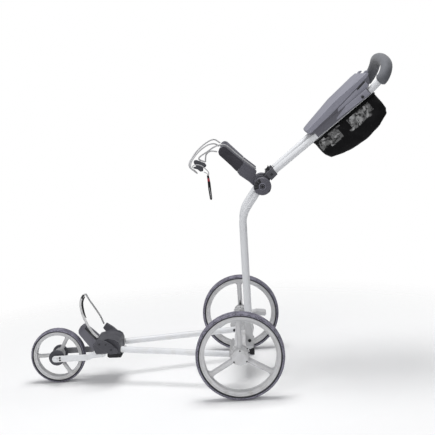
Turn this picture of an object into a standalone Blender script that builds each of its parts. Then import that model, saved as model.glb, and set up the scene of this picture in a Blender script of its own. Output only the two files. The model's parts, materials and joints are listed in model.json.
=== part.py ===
"""Three-wheel golf push trolley, modelled in metres, +Z up.

The trolley points towards -X: the single front wheel is at -X, the handle at +X.
The middle plane is y = 0 and the trolley's left side is -Y.
Side-view sizes are measured from the rear axle line on the ground, so every piece
hangs under the empty "rear_axle_line", which stands that line at AXLE_X.
"""
import math

import bmesh
import bpy
from mathutils import Matrix, Vector

for item in list(bpy.data.objects):
    bpy.data.objects.remove(item, do_unlink=True)

# ---------------------------------------------------------------- driving dimensions
GAP = 0.0003                     # between pieces that touch
AXLE_X = 0.1013                  # rear axle line, with the footprint centred on the origin
SIDES = (("left", -1), ("right", 1))

REAR_R = 0.145                   # rear wheel radius
FRONT_R = 0.09625                # front wheel radius
FRONT_X = -0.651                 # front axle, ahead of the rear axle
HALF_TRACK = 0.300               # rear wheel mid-plane
WHEEL_WIDTH = 0.040

SHAFT_R = 0.006
HOUSING_HALF_LENGTH = 0.235
HOUSING_TOP = REAR_R + 0.015

FOLD_X, FOLD_Z = -0.0245, 0.113  # front frame pivots on the ear plates
FOLD_Y = 0.165
FORK_X, FORK_Z = -0.486, 0.1065  # fork pivot under the bag bracket
FORK_ARM_Y = 0.055
UPRIGHT_X = 0.031
UPRIGHT_Y = 0.0735
UPRIGHT_R = 0.0125
TUBE_R = 0.011                   # lower tubes and handle legs
TUBE_WALL = 0.0018

JOINT_X, JOINT_Z = 0.104, 0.667  # handle joint axis
JOINT_R = 0.030
LEG_SLOPE = math.radians(38.3)
LEG_FOOT = Vector((0.2586, 0.0, 0.7985))   # a point on the legs' axis line

PEDAL_X, PEDAL_Z = 0.006, 0.178
PIN_R = 0.026                    # brake pin, above the axle

CORD_R = 0.0025

# ---------------------------------------------------------------- collections, bodies
scene = bpy.context.scene
PARTS = bpy.data.collections.new("golf_push_trolley")
CUTTERS = bpy.data.collections.new("cutters")
scene.collection.children.link(PARTS)
scene.collection.children.link(CUTTERS)

PIVOTS = {
    "rear_axle_line": (None, (0.0, 0.0, 0.0)),
    "rear_wheel_left_axis": ("rear_axle_line", (0.0, -HALF_TRACK, REAR_R)),
    "rear_wheel_right_axis": ("rear_axle_line", (0.0, HALF_TRACK, REAR_R)),
    "front_frame_axis": ("rear_axle_line", (FOLD_X, 0.0, FOLD_Z)),
    "fork_axis": ("front_frame_axis", (FORK_X, 0.0, FORK_Z)),
    "front_wheel_axis": ("fork_axis", (FRONT_X, 0.0, FRONT_R)),
    "latch_foot_axis": ("front_frame_axis", (-0.4690, 0.0, 0.1010)),
    "handle_axis": ("rear_axle_line", (JOINT_X, 0.0, JOINT_Z)),
    "lid_axis": ("handle_axis", (0.2600, 0.0, 0.8300)),
    "wing_nut_axis": ("handle_axis", (0.1262, -0.055, 0.7218)),
    "pedal_axis": ("rear_axle_line", (PEDAL_X, 0.0, PEDAL_Z)),
    "brake_pin_left_axis": ("rear_axle_line", (0.0, -0.232, REAR_R + PIN_R)),
    "brake_pin_right_axis": ("rear_axle_line", (0.0, 0.232, REAR_R + PIN_R)),
}
BODIES = {}
for body_name, (parent_name, pivot) in PIVOTS.items():
    empty = bpy.data.objects.new(body_name, None)
    empty.empty_display_size = 0.03
    PARTS.objects.link(empty)
    if parent_name is None:
        empty.location = (AXLE_X, 0.0, 0.0)
    else:
        empty.parent = BODIES[parent_name]
        empty.location = Vector(pivot) - Vector(PIVOTS[parent_name][1])
    BODIES[body_name] = empty


# ---------------------------------------------------------------- materials
def material(name, colour, roughness, metallic=0.0):
    made = bpy.data.materials.new(name)
    made.use_nodes = True
    shader = made.node_tree.nodes["Principled BSDF"]
    shader.inputs["Base Color"].default_value = (*colour, 1.0)
    shader.inputs["Roughness"].default_value = roughness
    shader.inputs["Metallic"].default_value = metallic
    return made


WHITE = material("white_frame", (0.80, 0.81, 0.83), 0.35)
SILVER = material("silver_plastic", (0.52, 0.52, 0.54), 0.45)
CHARCOAL = material("charcoal_plastic", (0.075, 0.075, 0.085), 0.5)
LID_GREY = material("lid_grey", (0.30, 0.30, 0.35), 0.45)
BLACK = material("black_plastic", (0.015, 0.015, 0.017), 0.5)
TYRE = material("tyre_rubber", (0.09, 0.09, 0.10), 0.8)
GRIP = material("grip_rubber", (0.10, 0.10, 0.11), 0.7)
STEEL = material("steel", (0.55, 0.55, 0.56), 0.3, 1.0)
NET = material("net_fabric", (0.012, 0.012, 0.014), 0.9)
CORD = material("elastic_cord", (0.45, 0.45, 0.46), 0.7)


# ---------------------------------------------------------------- helpers
def place(obj, body, surface, matrix=Matrix.Identity(4)):
    """Puts an object modelled in axle-line coordinates under its body's empty."""
    PARTS.objects.link(obj)
    obj.parent = BODIES[body]
    obj.matrix_parent_inverse = Matrix.Translation(-Vector(PIVOTS[body][1]))
    obj.matrix_basis = matrix
    obj.data.materials.clear()
    obj.data.materials.append(surface)
    return obj


def weld(mesh):
    shell = bmesh.new()
    shell.from_mesh(mesh)
    bmesh.ops.remove_doubles(shell, verts=shell.verts, dist=1e-6)
    bmesh.ops.recalc_face_normals(shell, faces=shell.faces)
    shell.to_mesh(mesh)
    shell.free()


def curve_to_mesh(name, curve):
    """Turns a curve into a mesh with its caps welded on."""
    holder = bpy.data.objects.new(name + "_curve", curve)
    scene.collection.objects.link(holder)
    depsgraph = bpy.context.evaluated_depsgraph_get()
    mesh = bpy.data.meshes.new_from_object(holder.evaluated_get(depsgraph))
    bpy.data.objects.remove(holder)
    weld(mesh)
    mesh.name = name
    return mesh


def outline_curve(name, loops, thickness):
    curve = bpy.data.curves.new(name, "CURVE")
    curve.dimensions = "2D"
    curve.fill_mode = "BOTH"
    curve.extrude = thickness / 2
    for loop in loops:
        spline = curve.splines.new("POLY")
        spline.points.add(len(loop) - 1)
        for point, (across, up) in zip(spline.points, loop):
            point.co = (across, up, 0.0, 1.0)
        spline.use_cyclic_u = True
    return curve


SIDE_VIEW = Matrix.Rotation(math.pi / 2, 4, "X")     # an outline's x, y become x, z
LEG_FRAME = Matrix.Translation(LEG_FOOT) @ Matrix.Rotation(-LEG_SLOPE, 4, "Y")


def on_leg(along, across, above):
    """A point given along the legs, across the trolley and square above the legs."""
    return LEG_FRAME @ Vector((along, across, above))


def prism(name, loops, y, thickness, body, surface, frame=Matrix.Identity(4), flat=SIDE_VIEW):
    """A flat outline with its thickness centred on y, or on height y for a plan outline."""
    mesh = curve_to_mesh(name, outline_curve(name, loops, thickness))
    shift = Vector((0.0, y, 0.0)) if flat is SIDE_VIEW else Vector((0.0, 0.0, y))
    obj = bpy.data.objects.new(name, mesh)
    return place(obj, body, surface, frame @ Matrix.Translation(shift) @ flat)


PLAN = Matrix.Identity(4)


def round_edges(obj, width, segments=2):
    soften = obj.modifiers.new("rounded_edges", "BEVEL")
    soften.width = width
    soften.segments = segments
    soften.limit_method = "ANGLE"
    soften.angle_limit = math.radians(35)
    return obj


def combine(obj, other, operation):
    """Cuts, joins or intersects with a guide solid, which stays out of the model."""
    PARTS.objects.unlink(other)
    CUTTERS.objects.link(other)
    other.hide_render = True
    other.display_type = "WIRE"
    step = obj.modifiers.new(operation.lower(), "BOOLEAN")
    step.operation = operation
    step.object = other
    step.solver = "EXACT"
    return obj


def smooth(obj, angle=40):
    obj.data.shade_smooth()
    obj.data.set_sharp_from_angle(angle=math.radians(angle))
    return obj


def arc(centre, radius, start, end, steps):
    """Points along an arc, angles in degrees, both ends included."""
    found = []
    for index in range(steps + 1):
        angle = math.radians(start + (end - start) * index / steps)
        found.append((centre[0] + radius * math.cos(angle), centre[1] + radius * math.sin(angle)))
    return found


def circle(centre, radius, steps=24):
    return arc(centre, radius, 0, 360 - 360 / steps, steps - 1)


def turned(name, profile, centre, steps, body, surface, ring=True):
    """Turns (radius, along) points about an axis that runs along Y through centre."""
    shape = bmesh.new()
    corners = [shape.verts.new((radius, 0.0, along)) for radius, along in profile]
    for first, second in zip(corners, corners[1:]):
        shape.edges.new((first, second))
    if ring:
        shape.edges.new((corners[-1], corners[0]))
    mesh = bpy.data.meshes.new(name)
    shape.to_mesh(mesh)
    shape.free()
    obj = bpy.data.objects.new(name, mesh)
    spin = obj.modifiers.new("turned", "SCREW")
    spin.axis = "Z"
    spin.steps = steps
    spin.render_steps = steps
    spin.use_merge_vertices = True
    spin.merge_threshold = 1e-5
    spin.use_smooth_shade = True
    turn = Matrix.Translation(centre) @ Matrix.Rotation(-math.pi / 2, 4, "X")
    return place(obj, body, surface, turn)


def cylinder(name, radius, y_low, y_high, centre_xz, body, surface, steps=24):
    """A solid cylinder along Y."""
    low, high = y_low, y_high
    profile = [(0.0, high), (radius, high), (radius, low), (0.0, low)]
    return turned(name, profile, (centre_xz[0], 0.0, centre_xz[1]), steps, body, surface, False)


def ring(name, outer, inner, y_low, y_high, centre_xz, body, surface, steps=28):
    profile = [(outer, y_high), (outer, y_low), (inner, y_low), (inner, y_high)]
    return turned(name, profile, (centre_xz[0], 0.0, centre_xz[1]), steps, body, surface)


def bent_path(points, bend_radius, steps=4):
    """A path through the points with its corners rounded to bend_radius."""
    corners = [Vector(point) for point in points]
    path = [corners[0]]
    for before, corner, after in zip(corners, corners[1:], corners[2:]):
        back = (before - corner).normalized()
        ahead = (after - corner).normalized()
        half = back.angle(ahead) / 2
        reach = min(bend_radius / math.tan(half), (before - corner).length / 2,
                    (after - corner).length / 2)
        for index in range(steps + 1):
            t = index / steps
            start, end = corner + back * reach, corner + ahead * reach
            path.append(start * (1 - t) ** 2 + corner * 2 * t * (1 - t) + end * t * t)
    path.append(corners[-1])
    return path


def smooth_path(points, spacing):
    """A Catmull-Rom curve through the points, read off about every spacing."""
    knots = [Vector(point) for point in points]
    knots = [knots[0] * 2 - knots[1]] + knots + [knots[-1] * 2 - knots[-2]]
    path = [knots[1]]
    for a, b, c, d in zip(knots, knots[1:], knots[2:], knots[3:]):
        count = max(1, round((c - b).length / spacing))
        for index in range(1, count + 1):
            t = index / count
            path.append(0.5 * (2 * b + (c - a) * t + (2 * a - 5 * b + 4 * c - d) * t * t
                               + (3 * b - a - 3 * c + d) * t ** 3))
    return path


def rod(name, path, radius, body, surface, resolution=6, wall=0.0, closed=False):
    """A round rod, or a tube with open ends when a wall is given."""
    curve = bpy.data.curves.new(name, "CURVE")
    curve.dimensions = "3D"
    curve.bevel_depth = radius
    curve.bevel_resolution = resolution
    curve.use_fill_caps = wall == 0.0 and not closed
    spline = curve.splines.new("POLY")
    spline.points.add(len(path) - 1)
    for point, position in zip(spline.points, path):
        point.co = (*position, 1.0)
    spline.use_cyclic_u = closed
    obj = place(bpy.data.objects.new(name, curve_to_mesh(name, curve)), body, surface)
    if wall:
        thicken = obj.modifiers.new("tube_wall", "SOLIDIFY")
        thicken.thickness = wall
        thicken.offset = -1.0
    return smooth(obj)


def band(points, width, steps=6):
    """The outline of a strip of one width along a path in the side view, with round ends."""
    spine = [Vector(point) for point in points]
    left, right = [], []
    for index, point in enumerate(spine):
        ahead = spine[min(index + 1, len(spine) - 1)] - spine[max(index - 1, 0)]
        side = Vector((-ahead.y, ahead.x)).normalized() * (width / 2)
        left.append(tuple(point + side))
        right.append(tuple(point - side))
    first = spine[1] - spine[0]
    last = spine[-1] - spine[-2]
    end = math.degrees(math.atan2(last.y, last.x))
    start = math.degrees(math.atan2(first.y, first.x))
    nose = arc(spine[-1], width / 2, end + 90, end - 90, steps)
    tail = arc(spine[0], width / 2, start - 90, start - 270, steps)
    return left[1:-1] + nose + right[-2:0:-1] + tail


def flare(obj, origin, direction, slope, side):
    """Leans a side-view prism outwards: y grows with the distance along direction."""
    way = Vector(direction).normalized()
    for vertex in obj.data.vertices:
        along = (Vector((vertex.co.x, vertex.co.y)) - Vector(origin)).dot(way)
        vertex.co.z -= side * slope * along
    return obj


# ---------------------------------------------------------------- wheels
def window(spoke, half_spoke, rim_r, hub_r, fillet, hub_fillet):
    """One opening between two spokes of a three-spoke wheel."""
    def corner(radius, round_r):
        height = half_spoke + round_r
        return math.degrees(math.asin(height / radius)), height

    outer_turn, outer_h = corner(rim_r - fillet, fillet)
    inner_turn, inner_h = corner(hub_r + hub_fillet, hub_fillet)
    outer_c = (math.sqrt((rim_r - fillet) ** 2 - outer_h ** 2), outer_h)
    inner_c = (math.sqrt((hub_r + hub_fillet) ** 2 - inner_h ** 2), inner_h)
    half = arc((0, 0), rim_r, 60, outer_turn, 5)
    half += arc(outer_c, fillet, outer_turn, -90, 3)[1:]
    half += arc(inner_c, hub_fillet, -90, -180 + inner_turn, 2)
    half += arc((0, 0), hub_r, inner_turn, 60, 2)[1:]
    across = math.radians(120)
    mirrored = [(x * math.cos(across) + z * math.sin(across),
                 x * math.sin(across) - z * math.cos(across)) for x, z in half]
    loop = half + mirrored[-2:0:-1]
    turn = math.radians(spoke)
    return [(x * math.cos(turn) - z * math.sin(turn),
             x * math.sin(turn) + z * math.cos(turn)) for x, z in loop]


def shifted(loop, centre):
    return [(x + centre[0], z + centre[1]) for x, z in loop]


def tyre(name, radius, section, centre, steps, body):
    half = WHEEL_WIDTH / 2
    seat = radius - section
    profile = [(seat, 0.86 * half), (radius - 0.55 * section, half),
               (radius - 0.15 * section, 0.72 * half), (radius, 0.3 * half),
               (radius, -0.3 * half), (radius - 0.15 * section, -0.72 * half),
               (radius - 0.55 * section, -half), (seat, -0.86 * half)]
    return turned(name, profile, centre, steps, body, TYRE)


def wheel_centre(name, centre, sizes, steps, body):
    """Rim, three spokes and hub in one moulding, with a bore for the axle or bearing."""
    y = centre[1]
    xz = (centre[0], centre[2])
    obj = ring(name, sizes["rim"], sizes["lip"], y - sizes["rim_half"], y + sizes["rim_half"],
               xz, body, SILVER, steps)
    windows = [window(angle, sizes["spoke"] / 2, sizes["lip"] - 0.0004, sizes["hub"],
                      sizes["fillet"], 0.004) for angle in sizes["angles"]]
    outer = circle((0, 0), (sizes["rim"] + sizes["lip"]) / 2, steps)
    bore = circle((0, 0), (sizes["hub"] + sizes["bore"]) / 2, 24)
    loops = [shifted(loop, xz) for loop in [outer, *windows, bore]]
    web = prism(name + "_web", loops, y, sizes["web"], body, SILVER)
    hub = ring(name + "_hub", sizes["hub"], sizes["bore"], y - sizes["hub_half"],
               y + sizes["hub_half"], xz, body, SILVER, 24)
    combine(obj, web, "UNION")
    combine(obj, hub, "UNION")
    return obj


REAR_CENTRE = {"rim": 0.1324, "lip": 0.117, "rim_half": 0.0165, "spoke": 0.017, "web": 0.016,
               "hub": 0.026, "bore": 0.0145, "hub_half": 0.025, "fillet": 0.012,
               "angles": (90, 210, 330)}
FRONT_CENTRE = {"rim": 0.0868, "lip": 0.0745, "rim_half": 0.0165, "spoke": 0.013, "web": 0.014,
                "hub": 0.019, "bore": 0.0045, "hub_half": 0.030, "fillet": 0.008,
                "angles": (60, 180, 300)}


def trefoil(radius, lobe, steps=36):
    """A round cap with three soft lobes that lie on the spokes."""
    found = []
    for index in range(steps):
        angle = math.radians(360 * index / steps)
        reach = radius + lobe * math.cos(3 * (angle - math.pi / 2))
        found.append((reach * math.cos(angle), reach * math.sin(angle)))
    return found


def notched(outer, root, inner_gap, count, half_width):
    """A ring's outer edge with square slots, one of them straight up."""
    found = []
    half_turn = math.degrees(math.asin(half_width / outer))
    for index in range(count):
        middle = 90 + 360 * index / count
        found += arc((0, 0), root, middle - half_turn, middle + half_turn, 1)
        found += arc((0, 0), outer, middle + half_turn, middle + 360 / count - half_turn, 2)
    return [found, circle((0, 0), inner_gap, 24)]


def rear_wheel(side, sign):
    body = f"rear_wheel_{side}_axis"
    centre = (0.0, sign * HALF_TRACK, REAR_R)
    xz = (0.0, REAR_R)
    tyre(f"rear_tyre_{side}", REAR_R, REAR_R - REAR_CENTRE["rim"] - GAP, centre, 40, body)
    wheel_centre(f"rear_wheel_centre_{side}", centre, REAR_CENTRE, 40, body)
    hub_face = HALF_TRACK + REAR_CENTRE["hub_half"]
    cap = prism(f"rear_hub_cap_{side}", [shifted(trefoil(0.0245, 0.0035), xz)],
                sign * (hub_face + GAP + 0.0025), 0.005, body, SILVER)
    round_edges(cap, 0.0015, 1)
    ring_loops = [shifted(loop, xz) for loop in notched(0.031, 0.0215, 0.0145, 12, 0.0032)]
    inner_face = HALF_TRACK - REAR_CENTRE["hub_half"]
    prism(f"brake_ring_{side}", ring_loops, sign * (inner_face - GAP - 0.005), 0.010,
          body, SILVER)


for side, sign in SIDES:
    rear_wheel(side, sign)

front_centre = (FRONT_X, 0.0, FRONT_R)
front_xz = (FRONT_X, FRONT_R)
tyre("front_tyre", FRONT_R, FRONT_R - FRONT_CENTRE["rim"] - GAP, front_centre, 32,
     "front_wheel_axis")
wheel_centre("front_wheel_centre", front_centre, FRONT_CENTRE, 32, "front_wheel_axis")
disc_low = FRONT_CENTRE["hub_half"] + GAP
for side, sign in SIDES:
    ends = sorted((sign * disc_low, sign * 0.041))
    ring(f"front_hub_disc_{side}", 0.0275, 0.0047, *ends, front_xz, "front_wheel_axis", CHARCOAL)


# ---------------------------------------------------------------- rear frame and axle
def rectangle(x_low, z_low, x_high, z_high):
    return [(x_low, z_low), (x_high, z_low), (x_high, z_high), (x_low, z_high)]


def lug_outline(centre, radius):
    """A lug that stands on the housing and is round about its hole."""
    foot = HOUSING_TOP - 0.004
    return [(centre[0] + radius, foot), *arc(centre, radius, 0, 180, 8),
            (centre[0] - radius, foot)]


def axle_housing():
    """Box beam with a bore for the shaft, lugs for the pedal and guides for the pins."""
    section = rectangle(-0.018, REAR_R - 0.015, 0.018, HOUSING_TOP)
    bore = circle((0.0, REAR_R), SHAFT_R + 0.0008, 24)
    beam = prism("axle_housing", [section, bore], 0.0, 2 * HOUSING_HALF_LENGTH,
                 "rear_axle_line", SILVER)
    for sign in (-1, 1):
        lug_loops = [lug_outline((PEDAL_X, PEDAL_Z), 0.010),
                     circle((PEDAL_X, PEDAL_Z), 0.0048, 16)]
        lug = prism("pedal_lug", lug_loops, sign * 0.0255, 0.005, "rear_axle_line", SILVER)
        combine(beam, lug, "UNION")
        guide_top = REAR_R + PIN_R
        guide_loops = [lug_outline((0.0, guide_top), 0.0065),
                       circle((0.0, guide_top), 0.0026, 16)]
        guide = prism("pin_guide", guide_loops, sign * 0.2250, 0.010, "rear_axle_line", SILVER)
        combine(beam, guide, "UNION")
    return beam


axle_housing()
shaft_end = HALF_TRACK + 0.021
cylinder("axle_shaft", SHAFT_R, -shaft_end, shaft_end, (0.0, REAR_R), "rear_axle_line", STEEL)

EAR = [(-0.0390, 0.1080), (-0.0350, 0.1010), (-0.0245, 0.0985), (-0.0110, 0.1020),
       (-0.0080, 0.1297), (-0.0184, 0.1297), (-0.0184, 0.1720), (-0.0250, 0.1720),
       (-0.0330, 0.1520), (-0.0390, 0.1300)]
EAR_IN = FOLD_Y + TUBE_R + 0.0010
EAR_THICK = 0.005
for side, sign in SIDES:
    prism(f"ear_plate_{side}", [EAR], sign * (EAR_IN + EAR_THICK / 2), EAR_THICK,
          "rear_axle_line", SILVER)

BRACKET = [(0.0184, 0.1180), (0.0440, 0.1180), (0.0475, 0.1370), (0.0440, 0.1560),
           (0.0330, 0.2050), (0.0184, 0.2100)]
BRACKET_IN = UPRIGHT_Y + UPRIGHT_R + GAP
BRACKET_THICK = 0.0045
for side, sign in SIDES:
    prism(f"upright_bracket_{side}", [BRACKET], sign * (BRACKET_IN + BRACKET_THICK / 2),
          BRACKET_THICK, "rear_axle_line", SILVER)

UPRIGHT_FOOT = 0.1080
stop = prism("upright_stop_block", [[(0.0180, 0.0840), (0.0460, 0.0840),
                                     (0.0460, UPRIGHT_FOOT - GAP), (0.0180, UPRIGHT_FOOT - GAP)]],
             0.0, 2 * (UPRIGHT_Y + UPRIGHT_R), "rear_axle_line", BLACK)
round_edges(stop, 0.002)

# ---------------------------------------------------------------- upright and joint
arrive = Vector((JOINT_X - 0.058, JOINT_Z - 0.617)).normalized()
UPRIGHT_PATH = [(UPRIGHT_X, UPRIGHT_FOOT), (UPRIGHT_X, 0.572),
                (JOINT_X - arrive.x * (JOINT_R + 0.0015), JOINT_Z - arrive.y * (JOINT_R + 0.0015))]
for side, sign in SIDES:
    path = bent_path([(x, sign * UPRIGHT_Y, z) for x, z in UPRIGHT_PATH], 0.110, 8)
    rod(f"upright_tube_{side}", path, UPRIGHT_R, "rear_axle_line", WHITE, 4, TUBE_WALL)

JOINT = (JOINT_X, JOINT_Z)
KNUCKLE_IN, KNUCKLE_OUT = 0.0340, 0.0567
HUB_IN, HUB_OUT = 0.0575, 0.0865
COVER_OUT = 0.0985


def between(low, high, sign):
    return min(sign * low, sign * high), max(sign * low, sign * high)


for side, sign in SIDES:
    hub_profile = [(0.0056, COVER_OUT), (0.0270, COVER_OUT), (JOINT_R, COVER_OUT - 0.003),
                   (JOINT_R, HUB_OUT), (0.0290, HUB_OUT), (0.0290, HUB_IN), (0.0056, HUB_IN)]
    if sign < 0:
        hub_profile = [(radius, -along) for radius, along in hub_profile[::-1]]
    turned(f"joint_hub_{side}", hub_profile, (JOINT_X, 0.0, JOINT_Z), 30, "rear_axle_line",
           CHARCOAL)

head_in, head_out = COVER_OUT + GAP, COVER_OUT + 0.0045
turned("joint_bolt", [(0.0, head_out), (0.0075, head_out), (0.0090, head_in + 0.0015),
                      (0.0090, head_in), (0.0050, head_in), (0.0050, -head_in),
                      (0.0090, -head_in), (0.0090, -head_in - 0.0015), (0.0075, -head_out),
                      (0.0, -head_out)],
       (JOINT_X, 0.0, JOINT_Z), 24, "rear_axle_line", BLACK, False)

# ---------------------------------------------------------------- upper bag bracket
ARM = [(0.0875, 0.7205), (0.0740, 0.6695), (0.0605, 0.6845), (0.0300, 0.7095),
       (0.0219, 0.7220), (0.0473, 0.7536)]
CHEEK = [(0.0468, 0.7544), (0.0213, 0.7227), (0.0030, 0.7450), (-0.0346, 0.7855),
         (-0.0360, 0.7960), (-0.0310, 0.8080), (-0.0200, 0.8130), (-0.0100, 0.8100)]
ARM_ROOT = (0.0807, 0.6950)
ARM_WAY = (-0.720, 0.694)
ARM_FLARE = 0.38
ARM_IN, ARM_OUT = 0.0705, 0.0865
for side, sign in SIDES:
    middle = sign * (ARM_IN + ARM_OUT) / 2
    arm = prism(f"bag_arm_{side}", [ARM], middle, ARM_OUT - ARM_IN, "rear_axle_line", CHARCOAL)
    flare(arm, ARM_ROOT, ARM_WAY, ARM_FLARE, sign)
    cheek = prism(f"bag_cheek_{side}", [CHEEK], middle + sign * 0.001, 0.019,
                  "rear_axle_line", CHARCOAL)
    flare(cheek, ARM_ROOT, ARM_WAY, ARM_FLARE, sign)
    round_edges(cheek, 0.003)


def arm_middle(x, z):
    """Distance from y = 0 of the arms' middle plane at a point of the side view."""
    along = (Vector((x, z)) - Vector(ARM_ROOT)).dot(Vector(ARM_WAY).normalized())
    return (ARM_IN + ARM_OUT) / 2 + ARM_FLARE * along


# ---------------------------------------------------------------- bag cords, hook, pull tab
FAR_ROUTE = [(-0.0345, arm_middle(-0.0345, 0.806) + 0.004, 0.8060), (-0.0560, 0.1330, 0.8205),
             (-0.0810, 0.1130, 0.8140), (-0.1130, 0.0800, 0.7910), (-0.1340, 0.0460, 0.7660),
             (-0.1440, 0.0160, 0.7480), (-0.1400, 0.0090, 0.7340), (-0.1270, 0.0080, 0.7250),
             (-0.1180, 0.0000, 0.7160), (-0.1270, -0.0080, 0.7250), (-0.1375, -0.0085, 0.7360),
             (-0.1370, 0.0030, 0.7520), (-0.1240, 0.0330, 0.7720), (-0.1050, 0.0640, 0.7900),
             (-0.0790, 0.0900, 0.8050), (-0.0560, 0.1080, 0.8070),
             (-0.0392, arm_middle(-0.0392, 0.795) - 0.004, 0.7955)]
NEAR_ROUTE = [(0.0860, -arm_middle(0.0860, 0.7245), 0.7262),
              (0.0640, -arm_middle(0.0640, 0.7430), 0.7458),
              (0.0450, -arm_middle(0.0450, 0.7610), 0.7630),
              (0.0200, -arm_middle(0.0200, 0.7840), 0.7870),
              (-0.0060, -arm_middle(-0.0060, 0.8080), 0.8120),
              (-0.0240, -arm_middle(-0.0240, 0.8160), 0.8180),
              (-0.0480, -0.1350, 0.8120), (-0.0740, -0.1050, 0.7950),
              (-0.0960, -0.0560, 0.7800), (-0.1070, -0.0170, 0.7690), (-0.1060, 0.0, 0.7615),
              (-0.0960, 0.0040, 0.7570), (-0.0870, 0.0, 0.7540), (-0.0850, -0.0170, 0.7620),
              (-0.0790, -0.0600, 0.7835), (-0.0620, -0.1060, 0.7965),
              (-0.0392, -arm_middle(-0.0392, 0.795) + 0.004, 0.7955)]
rod("bungee_far", smooth_path(FAR_ROUTE, 0.0150), CORD_R, "rear_axle_line", CORD, 2)
rod("bungee_near", smooth_path(NEAR_ROUTE, 0.0150), CORD_R, "rear_axle_line", CORD, 2)

HOOK = [(-0.1262, 0.7600), (-0.1180, 0.7620), (-0.1100, 0.7590), (-0.0890, 0.7495),
        (-0.0835, 0.7420), (-0.0865, 0.7350), (-0.0950, 0.7330), (-0.0960, 0.7215),
        (-0.1060, 0.7205), (-0.1150, 0.7290), (-0.1290, 0.7330), (-0.1300, 0.7370),
        (-0.1190, 0.7400), (-0.1270, 0.7510)]
hook = prism("bungee_hook", [HOOK], 0.0, 0.0100, "rear_axle_line", CHARCOAL)
round_edges(hook, 0.0015, 1)

LOOP_ROUTE = [(-0.0932, 0.0, 0.7180), (-0.0880, 0.0040, 0.7150), (-0.0830, 0.0030, 0.7120),
              (-0.0815, 0.0, 0.7075)]
rod("hook_loop", smooth_path(LOOP_ROUTE, 0.0035), 0.0014, "rear_axle_line", CORD, 2)

TAB = [(-0.0845, 0.7060), (-0.0775, 0.7060), (-0.0735, 0.6800), (-0.0705, 0.6250),
       (-0.0725, 0.6200), (-0.0785, 0.6220), (-0.0825, 0.6600), (-0.0835, 0.6900)]
prism("pull_tab", [TAB], 0.0, 0.0030, "rear_axle_line", NET)

# ---------------------------------------------------------------- brake pedal and pins
PEDAL_SPINE = [(PEDAL_X, PEDAL_Z), (0.0210, 0.2000), (0.0400, 0.2110), (0.0620, 0.2150),
               (0.0870, 0.2120)]
pedal = prism("brake_pedal", [band(PEDAL_SPINE, 0.014)], 0.0, 0.044, "pedal_axis", SILVER)
trunnion = cylinder("pedal_trunnion", 0.0043, -0.0290, 0.0290, (PEDAL_X, PEDAL_Z),
                    "pedal_axis", SILVER, 16)
combine(pedal, trunnion, "UNION")

for side, sign in SIDES:
    low, high = between(0.2000, 0.2632, sign)
    cylinder(f"brake_pin_{side}", 0.0020, low, high, (0.0, REAR_R + PIN_R),
             f"brake_pin_{side}_axis", STEEL, 16)

# ---------------------------------------------------------------- front frame
TUBE_FRONT_X, TUBE_FRONT_Y, TUBE_FRONT_Z = -0.4170, 0.0535, 0.1195
for side, sign in SIDES:
    run = Vector((FOLD_X - TUBE_FRONT_X, FOLD_Y - TUBE_FRONT_Y, 0.0)).normalized() * 0.011
    path = [(TUBE_FRONT_X, sign * TUBE_FRONT_Y, TUBE_FRONT_Z),
            (FOLD_X, sign * FOLD_Y, FOLD_Z),
            (FOLD_X + run.x, sign * FOLD_Y, FOLD_Z)]
    rod(f"lower_tube_{side}", path, TUBE_R, "front_frame_axis", WHITE, 4, TUBE_WALL)

HOUSING = [(-0.5120, 0.1215), (-0.4520, 0.1215), (-0.4520, 0.1062), (-0.4206, 0.1062),
           (-0.4206, 0.1351), (-0.4257, 0.1480), (-0.4400, 0.1560), (-0.4610, 0.1620),
           (-0.4790, 0.1586), (-0.5027, 0.1533), (-0.5150, 0.1391)]
CHEEK_PLATE = [(-0.5061, 0.1101), (-0.4223, 0.1101), (-0.4206, 0.1351), (-0.4257, 0.1492),
               (-0.4371, 0.1575), (-0.4500, 0.1600), (-0.4610, 0.1640), (-0.4790, 0.1586),
               (-0.5027, 0.1533), (-0.5150, 0.1391), (-0.5087, 0.1159)]
bracket = prism("bracket_housing", [HOUSING], 0.0, 0.1220, "front_frame_axis", CHARCOAL)
for sign in (-1, 1):
    plate = prism("bracket_side", [CHEEK_PLATE], sign * 0.0640, 0.0080, "front_frame_axis",
                  CHARCOAL)
    combine(bracket, plate, "UNION")

WING = [(-0.5032, 0.1596), (-0.4890, 0.1773), (-0.4630, 0.1627), (-0.4461, 0.1487),
        (-0.4284, 0.1267), (-0.4300, 0.1130), (-0.4560, 0.1130), (-0.4901, 0.1458)]
WING_ROOT = (-0.4370, 0.0935)
WING_WAY = (-0.655, 0.756)
WING_FLARE = 0.40
WING_IN, WING_THICK = 0.0684, 0.013
for side, sign in SIDES:
    wing = prism(f"bracket_wing_{side}", [WING], sign * (WING_IN + WING_THICK / 2), WING_THICK,
                 "front_frame_axis", CHARCOAL)
    flare(wing, WING_ROOT, WING_WAY, WING_FLARE, sign)
    round_edges(wing, 0.002)

# toe: a tongue that leans forward, with a trough along its upper face
TOE_SLOPE = math.atan2(0.7526, -0.6585)
TOE_FRAME = Matrix.Translation((-0.5089, 0.0, 0.1462)) @ Matrix.Rotation(-TOE_SLOPE, 4, "Y")
TOE_TOP, TOE_BOTTOM = -0.0034, 0.0232          # the frame's z axis points down and forward
toe_profile = [(0.0022, TOE_TOP), (-0.0003, 0.0098), (-0.0160, 0.0198), (-0.0166, TOE_BOTTOM),
               (0.0640, TOE_BOTTOM), (0.0710, 0.0180), (0.0740, 0.0100), (0.0730, 0.0010),
               (0.0690, TOE_TOP)]
toe = prism("bracket_toe", [toe_profile], 0.0, 0.110, "front_frame_axis", CHARCOAL, TOE_FRAME)
toe_plan = [(-0.0200, -0.0560), (-0.0200, 0.0560), (0.0300, 0.0460), (0.0600, 0.0340),
            (0.0720, 0.0200), (0.0745, 0.0), (0.0720, -0.0200), (0.0600, -0.0340),
            (0.0300, -0.0460)]
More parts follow.
